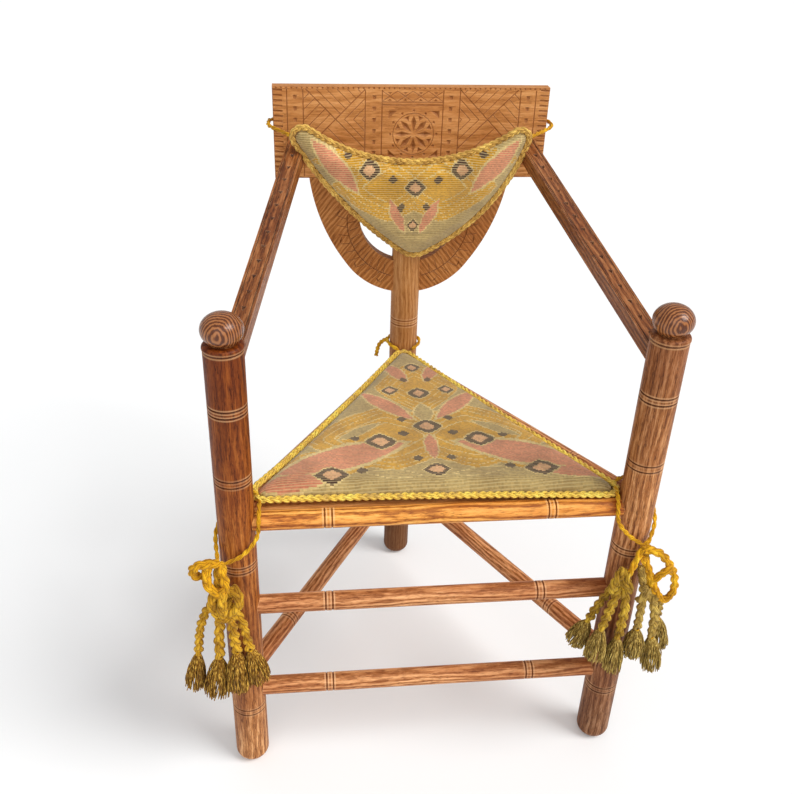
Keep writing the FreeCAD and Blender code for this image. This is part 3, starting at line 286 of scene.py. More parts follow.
def oakMaterial(name, look, along=(0, 0, 1), centre=(0, 0, 0), pith=(0.0, 0.06, 0.0), grooves=(), face=None,
                paintedLight=()):
    material, tree, shader = startMaterial(name)
    place = put(tree, "ShaderNodeTexCoord").outputs["Object"]
    turn = up.rotation_difference(Vector(along)).to_euler()
    local = put(tree, "ShaderNodeMapping", {"Vector": place, "Location": Vector(centre) * mm, "Rotation": turn},
                vector_type="TEXTURE").outputs[0]
    grain = useGroup(tree, oakGrain, {"Vector": local, "Pith": pith, "Ring Width": look["rings"],
                                      "Ring Share": look["ringShare"]})
    colour = ramp(tree, grain["Grain"], [(0.36, look["dark"]), (0.5, look["middle"]), (0.66, look["light"])])
    stain = ramp(tree, grain["Blotch"], [(0.36, look["stain"]), (0.58, (1, 1, 1))])
    colour = blendColours(tree, 0.8, colour, stain, "MULTIPLY")
    colour = blendColours(tree, calc(tree, "MULTIPLY", grain["Pores"], look["pores"]), colour, look["pore"])
    if paintedLight:  # painted light and shade up a post
        rise = put(tree, "ShaderNodeSeparateXYZ", {"Vector": local}).outputs["Z"]
        paintedTone = ramp(tree, rise, paintedLight)
        colour = blendColours(tree, 1.0, colour, paintedTone, "MULTIPLY")
    height = calc(tree, "MULTIPLY_ADD", grain["Pores"], -0.6, grain["Grain"])
    wear = useGroup(tree, edgeWear, {"Vector": place})["Mask"]
    colour = blendColours(tree, calc(tree, "MULTIPLY", wear, look["wear"]), colour, look["worn"])
    if grooves:
        run = put(tree, "ShaderNodeSeparateXYZ", {"Vector": local}).outputs["Z"]
        near = grooveDistance(tree, run, grooves)
        rub = calc(tree, "MULTIPLY", spread(tree, near, 0.0014, 0.0021), spread(tree, near, 0.0022, 0.0042, 1, 0))
        rub = calc(tree, "MULTIPLY", rub, spread(tree, grain["Blotch"], 0.36, 0.6, 0.15, 0.75))
        colour = blendColours(tree, rub, colour, look["worn"])
        colour = blendColours(tree, spread(tree, near, 0.0005, 0.0014, 0.85, 0), colour, look["pore"])
    if face:
        point, normal = face
        cuts = useGroup(tree, waxedCuts, {"Vector": place, "Face Point": Vector(point) * mm,
                                          "Face Normal": normal})["Mask"]
        colour = blendColours(tree, cuts, colour, look["pore"])
    rough = calc(tree, "MULTIPLY_ADD", grain["Blotch"], 0.22, look["rough"] - 0.11)
    rough = calc(tree, "MULTIPLY_ADD", grain["Pores"], 0.2, rough)
    feed(tree, shader["Base Color"], colour)
    feed(tree, shader["Roughness"], rough)
    shader["Specular IOR Level"].default_value = look["gloss"]
    shader["Coat Weight"].default_value = look["coat"]
    shader["Coat Roughness"].default_value = 0.25
    bump = put(tree, "ShaderNodeBump", {"Height": height, "Strength": 0.35, "Distance": 0.0006})
    feed(tree, shader["Normal"], bump.outputs["Normal"])
    return material


def dressNode(name, material):
    cadNodes[name].material_slots[0].material = material


# Painted light and shade on the posts by height in metres, times the oak's own colour: darker low on the rear post
# as painted shadow, lighter or darker up the front posts as painted light and shade
postPaintedLight = {
    "left": [(0.06, (1.95, 2.9, 4.9)), (0.3, (1.5, 1.7, 1.5)), (0.5, (1.25, 1.15, 0.7)), (0.7, (0.68, 0.46, 0.2))],
    "right": [(0.06, (0.92, 1.3, 2.5)), (0.3, (1.5, 1.95, 3.1)), (0.52, (2.0, 2.9, 4.6)), (0.7, (1.1, 1.3, 2.0))],
    "rear": [(0.1, (0.28, 0.25, 0.27)), (0.42, (0.66, 0.64, 0.64)), (0.6, (0.82, 0.86, 0.9))],
}


def dressWood():
    pairGap = chair["groovePairGap"] / 2
    posts = [(height, pairGap) for height in chair["frontGrooves"]]
    posts.append((chair["frontPostHeight"] - chair["collarBead"], 0))
    dressNode("front_left_post", oakMaterial("leftPostOak", oakLooks["post"], centre=leftAxis, grooves=posts,
                                             pith=(0.02, 0.07, 0.0), paintedLight=postPaintedLight["left"]))
    dressNode("front_right_post", oakMaterial("rightPostOak", oakLooks["post"], centre=rightAxis, grooves=posts,
                                              pith=(-0.06, 0.05, 0.3), paintedLight=postPaintedLight["right"]))
    dressNode("rear_post", oakMaterial("rearPostOak", oakLooks["board"], centre=rearAxis,
                                       grooves=[(chair["rearGroove"], pairGap)], pith=(0.05, 0.03, 0.1),
                                       paintedLight=postPaintedLight["rear"]))
    for name, axis, pith in (("left_finial", leftAxis, (0.012, 0.05, -0.755)),
                             ("right_finial", rightAxis, (0.0, 0.05, -0.76))):
        dressNode(name, oakMaterial(name + "Oak", oakLooks["finial"], centre=axis, pith=pith))
    railMarks = [(side * chair["railGrooveReach"], chair["railGrooveGap"] / 2) for side in (-1, 1)]
    rails = {
        "front_seat_rail": (leftAxis, rightAxis, chair["frontRail"], chair["frontRail"], "paleRail"),
        "left_seat_rail": (leftAxis, rearAxis, chair["sideRailFront"], chair["sideRailRear"], "rail"),
        "right_seat_rail": (rightAxis, rearAxis, chair["sideRailFront"], chair["sideRailRear"], "rail"),
        "upper_front_stretcher": (leftAxis, rightAxis, chair["upperStretcher"], chair["upperStretcher"], "rail"),
        "lower_front_stretcher": (leftAxis, rightAxis, chair["lowerStretcher"], chair["lowerStretcher"], "rail"),
        "left_side_stretcher": (leftAxis, rearAxis, chair["sideStretcher"], chair["sideStretcher"], "rail"),
        "right_side_stretcher": (rightAxis, rearAxis, chair["sideStretcher"], chair["sideStretcher"], "rail"),
    }
    for index, (name, (first, second, low, high, look)) in enumerate(rails.items()):
        start, end = first + up * low, second + up * high
        pith = (0.03 + 0.013 * index, 0.045 - 0.011 * index, 0.05 * index)
        dressNode(name, oakMaterial(name + "Oak", oakLooks[look], along=(end - start).normalized(),
                                    centre=(start + end) / 2, grooves=railMarks, pith=pith))
    dressNode("seat_board", oakMaterial("seatBoardOak", oakLooks["board"], along=(1, 0, 0)))
    dressNode("crest_board", oakMaterial("crestOak", oakLooks["board"], along=(1, 0, 0), centre=(0, rearY, 860),
                                         pith=(0.02, 0.11, 0.0), face=((0, crestFrontY, 0), (0, -1, 0))))
    for name, slope in (("left_brace", 0.8), ("right_brace", -0.8)):
        dressNode(name, oakMaterial(name + "Oak", oakLooks["brace"], along=Vector((slope, 0, 1)).normalized(),
                                    pith=(0.04, 0.09, 0.0), face=((0, braceFrontY, 0), (0, -1, 0))))
    for side, name in ((-1, "left_arm"), (1, "right_arm")):
        low, along, across, normal = armFrame(side)
        dressNode(name, oakMaterial(name + "Oak", oakLooks["arm"], along=along, centre=low,
                                    pith=(0.03, 0.05, 0.1), face=(low, normal)))


# An arm's top line, and its directions along, across and out of its top face
def armFrame(side):
    low = Vector((side * halfSpacing, frontY, chair["armAtPost"]))
    high = Vector((side * chair["armHalfSpread"], crestFrontY, chair["armAtCrest"]))
    along = (high - low).normalized()
    across = along.cross(up).normalized()
    return low, along, across, across.cross(along)


dressWood()
print("wood dressed")


# Smooth lines through the cords' given points
def smoothLine(points, steps=14):
    line = bpy.data.curves.new("line", "CURVE")
    line.dimensions = "3D"
    line.resolution_u = steps
    spline = line.splines.new("NURBS")
    spline.points.add(len(points) - 1)
    for spot, place in zip(spline.points, points):
        spot.co = (*place, 1)
    spline.order_u = 3
    spline.use_endpoint_u = True
    holder = bpy.data.objects.new("line", line)
    scene.collection.objects.link(holder)
    mesh = bpy.data.meshes.new_from_object(holder.evaluated_get(bpy.context.evaluated_depsgraph_get()))
    places = [vertex.co.copy() for vertex in mesh.vertices]
    bpy.data.objects.remove(holder)
    bpy.data.curves.remove(line)
    bpy.data.meshes.remove(mesh)
    return places


def lineLength(places):
    return sum((b - a).length for a, b in zip(places, places[1:]))


def evenly(places, gap, closed=False):
    places = list(places) + ([places[0]] if closed else [])
    total = lineLength(places)
    count = max(3, round(total / gap))
    found = [places[0].copy()]
    walked = 0.0
    for a, b in zip(places, places[1:]):
        run = (b - a).length
        while len(found) < count and walked + run >= total * len(found) / count:
            found.append(a.lerp(b, (total * len(found) / count - walked) / run))
        walked += run
    if not closed:
        found.append(places[-1].copy())
    return found


# A direction across the line at each point, carried along without twist
def crossings(places, closed=False, first=None):
    count = len(places)
    headings = []
    for i in range(count):
        before = places[(i - 1) % count] if closed or i > 0 else places[i]
        after = places[(i + 1) % count] if closed or i < count - 1 else places[i]
        headings.append((after - before).normalized())
    side = first or headings[0].orthogonal()
    sides = []
    for heading in headings:
        side = (side - heading * side.dot(heading)).normalized()
        sides.append(side.copy())
    if closed:  # the small twist left over is spread round the loop
        back = (sides[-1] - headings[0] * sides[-1].dot(headings[0])).normalized()
        slip = back.angle(sides[0]) * (1 if back.cross(sides[0]).dot(headings[0]) > 0 else -1)
        for i, heading in enumerate(headings):
            sides[i] = Matrix.Rotation(slip * i / count, 3, heading) @ sides[i]
    return [(side, heading.cross(side)) for side, heading in zip(sides, headings)]


def strandMesh(name, lines, radius, roundness=1, closed=False, taper=None):
    curve = bpy.data.curves.new(name, "CURVE")
    curve.dimensions = "3D"
    curve.bevel_depth = radius
    curve.bevel_resolution = roundness
    curve.use_fill_caps = True
    curve.twist_mode = "MINIMUM"
    for line in lines:
        spline = curve.splines.new("POLY")
        spline.points.add(len(line) - 1)
        for index, (spot, place) in enumerate(zip(spline.points, line)):
            spot.co = (*place, 1)
            spot.radius = taper(index / (len(line) - 1)) if taper else 1
        spline.use_cyclic_u = closed
    holder = bpy.data.objects.new(name, curve)
    scene.collection.objects.link(holder)
    mesh = bpy.data.meshes.new_from_object(holder.evaluated_get(bpy.context.evaluated_depsgraph_get()))
    bpy.data.objects.remove(holder)
    bpy.data.curves.remove(curve)
    mesh.name = name
    return mesh


def placePiece(name, mesh, material, replaced=()):
    piece = bpy.data.objects.new(name, mesh)
    scene.collection.objects.link(piece)
    mesh.materials.clear()
    mesh.materials.append(material)
    mesh.polygons.foreach_set("use_smooth", [True] * len(mesh.polygons))
    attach(piece, "root")
    if replaced:
        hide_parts(*replaced)
    return piece


# Lays strands round a line: a flat three-strand plait or a round twisted cord
lays = {
    "plait": {"strands": 3, "thick": 0.53, "wide": 0.50, "deep": 0.34, "pitch": 6.2, "gap": 0.24},
    "twist": {"strands": 2, "thick": 0.60, "wide": 0.40, "deep": 0.40, "pitch": 7.5, "gap": 0.5},
}


def strandLines(places, radius, kind, closed=False, first=None, lump=0.0):
    lay = lays[kind]
    length = lineLength(places) + ((places[0] - places[-1]).length if closed else 0)
    turns = max(1, round(length / (radius * lay["pitch"])))
    sides = crossings(places, closed, first)
    count = len(places) if closed else len(places) - 1
    lines = []
    for strand in range(lay["strands"]):
        line = []
        for i, (place, (side, other)) in enumerate(zip(places, sides)):
            turn = math.tau * (turns * i / count + strand / lay["strands"])
            if kind == "plait":
                u, v = math.sin(turn), math.sin(2 * turn)
            else:
                u, v = math.sin(turn), math.cos(turn)
            reach = radius * (1 + lump * noise.noise(place * 90))
            stray = noise.noise_vector(place * 260 + Vector((strand, 0, 0))) * (lump * 0.5 * radius)
            line.append(place + side * (u * lay["wide"] * reach) + other * (v * lay["deep"] * reach) + stray)
        lines.append(line)
    return lines


def scaleUv(mesh, along):
    layer = mesh.uv_layers[0].data
    for corner in layer:
        corner.uv.x *= along


def layCord(name, places, radius, kind, material, replaced=(), first=None, lump=0.0):
    lay = lays[kind]
    even = evenly(places, radius * lay["gap"])
    lines = strandLines(even, radius, kind, False, first, lump)
    mesh = strandMesh(name, lines, radius * lay["thick"], 2)
    scaleUv(mesh, lineLength(lines[0]) / mm)
    return placePiece(name, mesh, material, replaced), even


# Wool: plies twisted along each strand, with a slow change of colour and a fuzzy height
def makeWoolYarn():
    group, taken, given = startGroup(
        "woolYarn",
        [("UV", "Vector", None), ("Vector", "Vector", None), ("Mottle Vector", "Vector", None), ("Ply Pitch", "Float", 4.0),
         ("Plies", "Float", 5.0)],
        [("Ply", "Float"), ("Mottle", "Float"), ("Fuzz", "Float")])
    parts = put(group, "ShaderNodeSeparateXYZ", {"Vector": taken["UV"]}).outputs
    wave = calc(group, "ADD", calc(group, "MULTIPLY", parts["Y"], taken["Plies"]),
                calc(group, "DIVIDE", parts["X"], taken["Ply Pitch"]))
    ply = calc(group, "ABSOLUTE", calc(group, "SINE", calc(group, "MULTIPLY", wave, math.pi)))
    feed(group, given["Ply"], ply)
    feed(group, given["Mottle"], streaks(group, taken["Mottle Vector"], (1, 1, 1), 55, 3))
    feed(group, given["Fuzz"], streaks(group, taken["Vector"], (1, 1, 1), 1500, 2))
    return group


woolYarn = makeWoolYarn()


def woolMaterial(name, shades, plies=4.0, pitch=26.0, grain=(1, 1, 1), bumpHeight=0.0006):
    material, tree, shader = startMaterial(name)
    coordinates = put(tree, "ShaderNodeTexCoord").outputs
    yarn = useGroup(tree, woolYarn, {"UV": coordinates["UV"], "Vector": coordinates["Object"],
                                     "Mottle Vector": vecCalc(tree, "MULTIPLY", coordinates["Object"], grain),
                                     "Plies": plies, "Ply Pitch": pitch})
    colour = ramp(tree, yarn["Mottle"], [(0.32, shades["dull"]), (0.5, shades["body"]), (0.66, shades["bright"])])
    # Painted shade darkens the creases between the plies
    shade = ramp(tree, yarn["Ply"], [(0.0, shades["plyShade"]), (0.45, (1, 1, 1))])
    colour = blendColours(tree, 0.9, colour, shade, "MULTIPLY")
    fuzz = ramp(tree, yarn["Fuzz"], [(0.35, (0.72, 0.72, 0.72)), (0.65, (1.12, 1.12, 1.12))])
    colour = blendColours(tree, 1.0, colour, fuzz, "MULTIPLY")
    feed(tree, shader["Base Color"], colour)
    shader["Roughness"].default_value = 0.85
    shader["Sheen Weight"].default_value = 0.06
    shader["Sheen Roughness"].default_value = 0.5
    shader["Specular IOR Level"].default_value = 0.1
    height = calc(tree, "MULTIPLY_ADD", yarn["Fuzz"], 0.3, yarn["Ply"])
    bump = put(tree, "ShaderNodeBump", {"Height": height, "Strength": 0.8, "Distance": bumpHeight})
    feed(tree, shader["Normal"], bump.outputs["Normal"])
    return material


cordWool = woolMaterial("cordWool", {"dull": (0.48, 0.22, 0.012), "body": (0.72, 0.36, 0.012),
                                     "bright": (0.95, 0.56, 0.03), "plyShade": (0.36, 0.26, 0.14)})
plaitWool = woolMaterial("plaitWool", {"dull": (0.34, 0.16, 0.014), "body": (0.58, 0.31, 0.02),
                                       "bright": (0.82, 0.48, 0.035), "plyShade": (0.3, 0.21, 0.11)})
olivePlaitWool = woolMaterial("olivePlaitWool", {"dull": (0.24, 0.125, 0.012), "body": (0.43, 0.25, 0.024),
                                                 "bright": (0.68, 0.44, 0.045), "plyShade": (0.28, 0.2, 0.11)})
dullWool = woolMaterial("dullWool", {"dull": (0.24, 0.14, 0.03), "body": (0.42, 0.27, 0.06),
                                     "bright": (0.62, 0.43, 0.1), "plyShade": (0.32, 0.25, 0.16)})
tasselShades = {"plyShade": (0.4, 0.3, 0.2)}
leftTasselWool = woolMaterial("leftTasselWool", {"dull": (0.09, 0.035, 0.003), "body": (0.30, 0.14, 0.014),
                                                 "bright": (0.82, 0.5, 0.09), **tasselShades},
                              plies=2.0, pitch=12.0, grain=(11, 11, 1.2), bumpHeight=0.0003)
rightTasselWool = woolMaterial("rightTasselWool", {"dull": (0.11, 0.06, 0.009), "body": (0.34, 0.215, 0.045),
                                                   "bright": (0.74, 0.54, 0.15), **tasselShades},
                               plies=2.0, pitch=12.0, grain=(11, 11, 1.2), bumpHeight=0.0003)
seatEdgeWool = woolMaterial("seatEdgeWool", {"dull": (0.66, 0.42, 0.11), "body": (0.92, 0.62, 0.10),
                                             "bright": (1.0, 0.80, 0.16), "plyShade": (0.36, 0.26, 0.14)})
backEdgeWool = woolMaterial("backEdgeWool", {"dull": (0.50, 0.28, 0.07), "body": (0.72, 0.43, 0.10),
                                             "bright": (0.95, 0.64, 0.16), "plyShade": (0.32, 0.22, 0.12)})


# Cord routes, the same points as the CAD tubes follow
def fromAxis(axis, points):
    return [Vector((axis.x + x, axis.y + y, z)) * mm for x, y, z in points]


tieRadius = 2.3
tieCord = {"radius": 3.3, "off": 0.9}


def roundPost(axis, spots, change=0.0):
    points = []
    for angle, off, height in spots:
        reach = chair["frontPostRadius"] + tieRadius + tieCord["off"] + off + change
        turn = math.radians(angle)
        points.append(Vector((axis.x + reach * math.cos(turn), axis.y + reach * math.sin(turn), height)) * mm)
    return points


knots = {
    "left_knot": (leftAxis, (-25, -33, 420), 8), "left_lower_knot": (leftAxis, (-19, -42, 367), 13),
    "right_knot": (rightAxis, (10, -36.5, 423), 8), "right_lower_knot": (rightAxis, (-18, -44, 366), 13),
    "right_side_knot": (rightAxis, (23, -41, 348), 11),
}
knotAt = {name: fromAxis(axis, [spot])[0] for name, (axis, spot, size) in knots.items()}

leftFront = roundPost(leftAxis, [(24, 6, 492), (-8, 3.5, 492), (-33, 8, 476), (-33.5, 7, 457),
                                 (-56, 2.6, 440), (-90, 2.4, 427)]) + [knotAt["left_knot"]]
leftBack = [knotAt["left_knot"]] + roundPost(leftAxis, [(-155, 2.6, 432), (165, 2.6, 447), (125, 2.6, 467),
                                                        (88, 2.6, 485), (57, 5.0, 500), (33, 6.5, 499)])
rightFront = roundPost(rightAxis, [(160, 4, 492), (189, 3.5, 492), (210.6, 10, 476), (212, 9, 457),
                                   (233, 3.2, 440), (262, 2.6, 429)]) + [knotAt["right_knot"]]
rightBack = [knotAt["right_knot"]] + roundPost(rightAxis, [(-40, 2.6, 436), (0, 2.6, 452), (40, 2.6, 470),
                                                           (80, 2.6, 486), (118, 5.0, 500), (145, 5.5, 499)])
rearChange = chair["rearPostRadius"] - chair["frontPostRadius"]
rearTie = roundPost(rearAxis, [(-112, 2.9, 481), (-152, 2.9, 484), (168, 2.9, 486), (128, 2.9, 485),
                               (90, 2.9, 483), (52, 2.9, 484), (12, 2.9, 486), (-28, 2.9, 484),
                               (-66, 2.9, 481)], rearChange)
rearTail = fromAxis(rearAxis, [(-27, 12, 483), (-38, 17, 476), (-45, 18, 462), (-47, 17, 446)])
crestBack = chair["crestThickness"] + tieRadius + 0.3
crestSide = chair["crestHalfWidth"] + tieRadius
backTie = fromAxis(Vector((0, crestFrontY, 0)), [
    (-193, -53, 874), (-207, -31, 875), (-crestSide - 5.5, -8, 877), (-crestSide - 5.5, 10, 878),
    (-crestSide - 3, crestBack + 4, 878.5), (-204, crestBack + 1, 878), (-175, crestBack, 876.5),
    (-130, crestBack, 874), (-78, crestBack, 872), (-26, crestBack, 871), (26, crestBack, 871),
    (78, crestBack, 872), (130, crestBack, 874), (175, crestBack, 876.5), (204, crestBack + 1, 878),
    (crestSide + 3, crestBack + 4, 878.5), (crestSide + 5.5, 10, 878), (crestSide + 5.5, -8, 877),
    (204, -32, 875), (182, -53, 873)])
leftBow = fromAxis(leftAxis, [(-24, -38, 428), (-34, -43, 433), (-45, -45, 434), (-55, -45, 430),
                              (-60, -42, 419), (-57, -38, 408), (-47, -36, 405), (-37, -36, 409)])
rightBow = fromAxis(rightAxis, [(6, -40, 420), (24, -43, 421), (43, -45, 401), (57, -46, 376), (62, -46, 350),
                                (57, -46, 332), (45, -47, 328), (33, -48, 346), (24, -47, 368), (14, -46, 390),
                                (7, -42, 410)])
leftStrand = fromAxis(leftAxis, [(-25, -34, 418), (-31, -40, 397), (-20, -42, 372)])
rightStrand = fromAxis(rightAxis, [(5, -38, 420), (-6, -46, 402), (-10, -48, 388), (-14, -44, 374)])
sideStrand = fromAxis(rightAxis, [(10, -38, 420), (15, -42, 386), (22, -41, 352)])

# Folds of plait that make up the bows and the lower knots: points, radius
folds = {
    "leftHeart": (leftAxis, [(-38, -42, 430), (-41, -47, 414), (-39, -50, 398), (-31, -50, 388),
                             (-21, -49, 386), (-15, -48, 397), (-19, -46, 412), (-20, -41, 428)], 6.8),
    "leftFold1": (leftAxis, [(-27, -47, 343), (-36, -52, 358), (-36, -51, 376), (-30, -45, 389),
                             (-23, -38, 380), (-20, -37, 360)], 6.8),
    "leftFold2": (leftAxis, [(-22, -49, 343), (-22, -56, 358), (-22, -55, 376), (-20, -47, 391),
                             (-18, -38, 382), (-18, -38, 362)], 7.0),
    "leftFold3": (leftAxis, [(-15, -48, 344), (-3, -53, 357), (2, -52, 374), (-3, -47, 389),
                             (-11, -41, 386), (-15, -39, 366)], 7.0),
    "leftGather": (leftAxis, [(-32, -48, 340), (-22, -53, 338), (-12, -50, 340)], 6.2),
    "rightCross": (rightAxis, [(50, -45, 384), (45, -51, 392), (35, -52, 386), (28, -50, 373), (24, -44, 362)], 6.6),
    "rightFold1": (rightAxis, [(-30, -46, 350), (-34, -52, 364), (-30, -53, 380), (-22, -46, 388),
                               (-17, -38, 378), (-18, -38, 360)], 7.2),
    "rightFold2": (rightAxis, [(-8, -46, 348), (-8, -53, 360), (-14, -56, 368), (-20, -54, 380),
                               (-15, -45, 388), (-12, -39, 374)], 6.8),
    "rightStem": (rightAxis, [(4, -45, 394), (7, -50, 380), (10, -50, 366)], 5.6),
    "sideFold1": (rightAxis, [(10, -47, 330), (14, -52, 342), (20, -50, 352), (27, -44, 346), (28, -39, 334)], 6.0),
    "sideFold2": (rightAxis, [(30, -48, 328), (36, -50, 338), (36, -43, 348), (30, -38, 342)], 5.6),
}

# Each drop's route, the tip of its tassel, and the radii of the tassel's hem and of the plait
drops = {
    "left_1": ([(-21, -42, 368), (-40, -40, 360), (-53, -36, 328), (-61, -33, 292), (-64, -31, 258)],
               (-75, -29, 190), 14.5, 6.6),
    "left_2": ([(-20, -43, 366), (-28, -44, 332), (-32, -43, 296), (-33, -42, 260)],
               (-41, -42, 188), 19.0, 7.8),
    "left_3": ([(-18, -44, 366), (-12, -49, 336), (-10, -50, 306), (-8, -49, 276)],
               (-9, -49, 204), 18.0, 7.6),
    "left_4": ([(-17, -42, 366), (-1, -45, 341), (6, -46, 308), (10, -45, 275)],
               (22, -45, 213), 16.5, 6.8),
    "right_1": ([(-19, -43, 365), (-33, -37, 341), (-42, -28, 305), (-48, -20, 270)],
                (-61, -15, 220), 16.5, 7.0),
    "right_2": ([(-19, -45, 366), (-29, -53, 338), (-35, -53, 310), (-38, -50, 282)],
                (-42, -48, 222), 16.0, 7.2),
    "right_3": ([(-17, -46, 366), (-10, -53, 335), (-10, -53, 300), (-11, -51, 264)],
                (-11, -50, 198), 15.5, 7.4),
    "right_4": ([(21, -38, 360), (22, -44, 346), (17, -47, 326), (17, -48, 302), (18, -47, 276)],
                (18, -46, 222), 16.0, 6.6),
    "right_5": ([(24, -43, 348), (36, -49, 322), (41, -48, 290), (43, -46, 257)],
                (54, -44, 190), 16.5, 7.0),
    "right_6": ([(25, -41, 347), (46, -36, 327), (54, -30, 302), (57, -25, 274)],
                (72, -18, 208), 15.0, 6.2),
}


# A tassel: threads bound at the neck that spread like a bell to a ragged hem
tassel = {"threads": 120, "thread": 1.0, "neck": 2.8, "binding": 6}


def makeTassel(name, top, tip, hem, seed, replaced, material):
    rng = random.Random(seed)
    along = tip - top
    length = along.length
    heading = along.normalized()
    side = heading.orthogonal().normalized()
    other = heading.cross(side)
    lines = []
    for thread in range(tassel["threads"]):
        turn = rng.uniform(0, math.tau)
        share = rng.uniform(0.15, 1.0) ** 0.35
        reach = length * rng.uniform(0.94, 1.03) * (1.04 - 0.07 * share)
        sway = rng.uniform(-0.25, 0.25)
        wave = rng.uniform(0, math.tau)
        line = []
        for step in range(10):
            t = step / 9
            swell = tassel["neck"] + (hem - tassel["neck"]) * math.sin(min(1, t / 0.85) * math.pi / 2) ** 0.8
            swell *= share * (1 + 0.06 * math.sin(6 * t + wave))
            spin = turn + sway * t + 0.12 * math.sin(5 * t + wave)
            out = side * math.cos(spin) + other * math.sin(spin)
            line.append(top + heading * (3 * mm + (reach - 3 * mm) * t) + out * (swell * mm))
        lines.append(line)
    mesh = strandMesh(name, lines, tassel["thread"] * mm, 0, taper=lambda t: 1.0 if t < 0.9 else 0.7)
    scaleUv(mesh, length / mm)
    piece = placePiece(name, mesh, material, replaced)
    binding = []
    for step in range(tassel["binding"] * 12 + 1):
        turn = math.tau * step / 12
        out = side * math.cos(turn) + other * math.sin(turn)
        rise = 1.0 + 1.6 * step / 12
        binding.append(top + heading * (rise * mm) + out * (3.2 * mm))
    cuff = placePiece(name + "Cuff", strandMesh(name + "Cuff", [binding], 1.0 * mm, 1), cordWool)
    return [piece, cuff]


# Knots: a cord pulled through itself, and the folds of plait round it
def knotLine(centre, radius, seed):
    rng = random.Random(seed)
    tilt = Matrix.Rotation(rng.uniform(0.2, 0.9), 3, "X") @ Matrix.Rotation(rng.uniform(0, 3), 3, "Z")
    places = []
    for step in range(60):
        t = math.tau * step / 60
        spot = Vector((math.sin(t) + 2 * math.sin(2 * t), math.cos(t) - 2 * math.cos(2 * t), -1.5 * math.sin(3 * t)))
        places.append(centre + tilt @ spot * (radius / 3.0))
    return places


def makeKnots():
    made = {}
    for index, (name, (axis, spot, size)) in enumerate(knots.items()):
        radius = 3.6 * mm if size > 9 else 3.0 * mm
        even = evenly(knotLine(knotAt[name], (size - 2.5) * mm, 5 + index), radius * 0.3, True)
        lines = strandLines(even, radius, "plait", True)
        mesh = strandMesh(name + "Tied", lines, radius * lays["plait"]["thick"], 1, True)
        scaleUv(mesh, lineLength(lines[0]) / mm)
        made[name] = placePiece(name + "Tied", mesh, plaitWool if size > 9 else cordWool, [name])
    for name, (axis, points, radius) in folds.items():
        wool = dullWool if name.startswith("side") or name == "rightStem" else plaitWool
        wool = olivePlaitWool if name.startswith("rightFold") else wool
        wool = cordWool if name in ("leftHeart", "rightCross") else wool
        facing = Vector((0.25, -1, 0.1))
        made[name], _ = layCord(name, smoothLine(fromAxis(axis, points)), radius * mm, "plait", wool,
                                first=facing.cross(up), lump=0.2)
    coil = []
    for step in range(40):  # the end of one plait, rolled up like a snail
        turn = math.tau * step / 18
        reach = 6.2 - 4.6 * step / 39
        coil.append((10.5 + reach * math.cos(turn), -54 - 2.2 * step / 39, 359 + reach * math.sin(turn)))
    made["rightCoil"], _ = layCord("rightCoil", fromAxis(rightAxis, coil), 2.5 * mm, "twist", dullWool)
    return made


def dressCords():
    tied = makeKnots()
    for index, (key, (route, tip, hem, radius)) in enumerate(drops.items()):
        side, number = key.split("_")
        axis = leftAxis if side == "left" else rightAxis
        points = fromAxis(axis, route)
        facing = Vector((math.cos(index * 1.3) * 0.6, -1.2, 0.1)).cross(points[-1] - points[0]).normalized()
        wool = plaitWool if side == "left" else olivePlaitWool
        wool = dullWool if key in ("right_4", "right_5", "right_6") else wool
        piece, path = layCord(side + "Drop" + number, smoothLine(points), radius * mm, "plait", wool,
                              ["%s_drop_%s" % (side, number)], first=facing, lump=0.25)
        tuft = makeTassel(side + "Tassel" + number, points[-1], fromAxis(axis, [tip])[0], hem, 31 + index,
                          ["%s_tassel_%s" % (side, number)], leftTasselWool if side == "left" else rightTasselWool)
    leftLink, _ = layCord("leftStrand", smoothLine(leftStrand), 6.0 * mm, "plait", plaitWool, ["left_strand"])
    rightLink, _ = layCord("rightStrand", smoothLine(rightStrand), 5.8 * mm, "plait", cordWool,
                           ["right_strand"], lump=0.2)
    leftHeld = [tied[name] for name in tied if name.startswith("left")] + [leftLink]
    rightHeld = [tied[name] for name in tied if not name.startswith("left")] + [rightLink]
    thick = tieCord["radius"]
    ties = [
        ("leftFrontTie", "left_front_tie", leftFront, thick, "twist", cordWool, "knot", "taut", leftHeld),
        ("leftBackTie", "left_back_tie", leftBack[::-1], thick, "twist", cordWool, "knot", "taut", []),
        ("rightFrontTie", "right_front_tie", rightFront, thick, "twist", cordWool, "knot", "taut", rightHeld),
        ("rightBackTie", "right_back_tie", rightBack[::-1], thick, "twist", cordWool, "knot", "taut", []),
        ("rearTie", "rear_tie", rearTie, thick, "twist", cordWool, "object", "taut", []),
        ("rearTieTail", "rear_tie_tail", rearTail, 3.9, "plait", cordWool, "knot", "hanging", []),
        ("backTie", "back_tie", backTie, thick, "twist", cordWool, "object", "taut", []),
        ("leftBowLoop", "left_bow_loop", leftBow, 6.7, "plait", cordWool, "knot", "loose", []),
        ("rightBowLoop", "right_bow_loop", rightBow, 6.4, "plait", cordWool, "knot", "hanging", []),
        ("rightSideStrand", "right_side_strand", sideStrand, 5.2, "plait", plaitWool, "knot", "hanging", []),
    ]
    for name, node, points, radius, kind, wool, farEnd, lay, held in ties:
        piece, path = layCord(name, smoothLine(points), radius * mm, kind, wool, [node],
                              lump=0.15 if kind == "plait" else 0.0)


dressCords()
print("cords and tassels laid")


# Pad outlines: corner circles joined by bowed sides, as in the CAD pads
def meetingPoint(first, second, firstReach, secondReach, outward):
    gap = second - first
    along = (firstReach ** 2 - secondReach ** 2 + gap.length ** 2) / (2 * gap.length)
    rise = math.sqrt(firstReach ** 2 - along ** 2)
    across = Vector((-gap.y, gap.x, 0)).normalized()
    if across.dot(outward) < 0:
        across = -across
    return first + gap.normalized() * along + across * rise


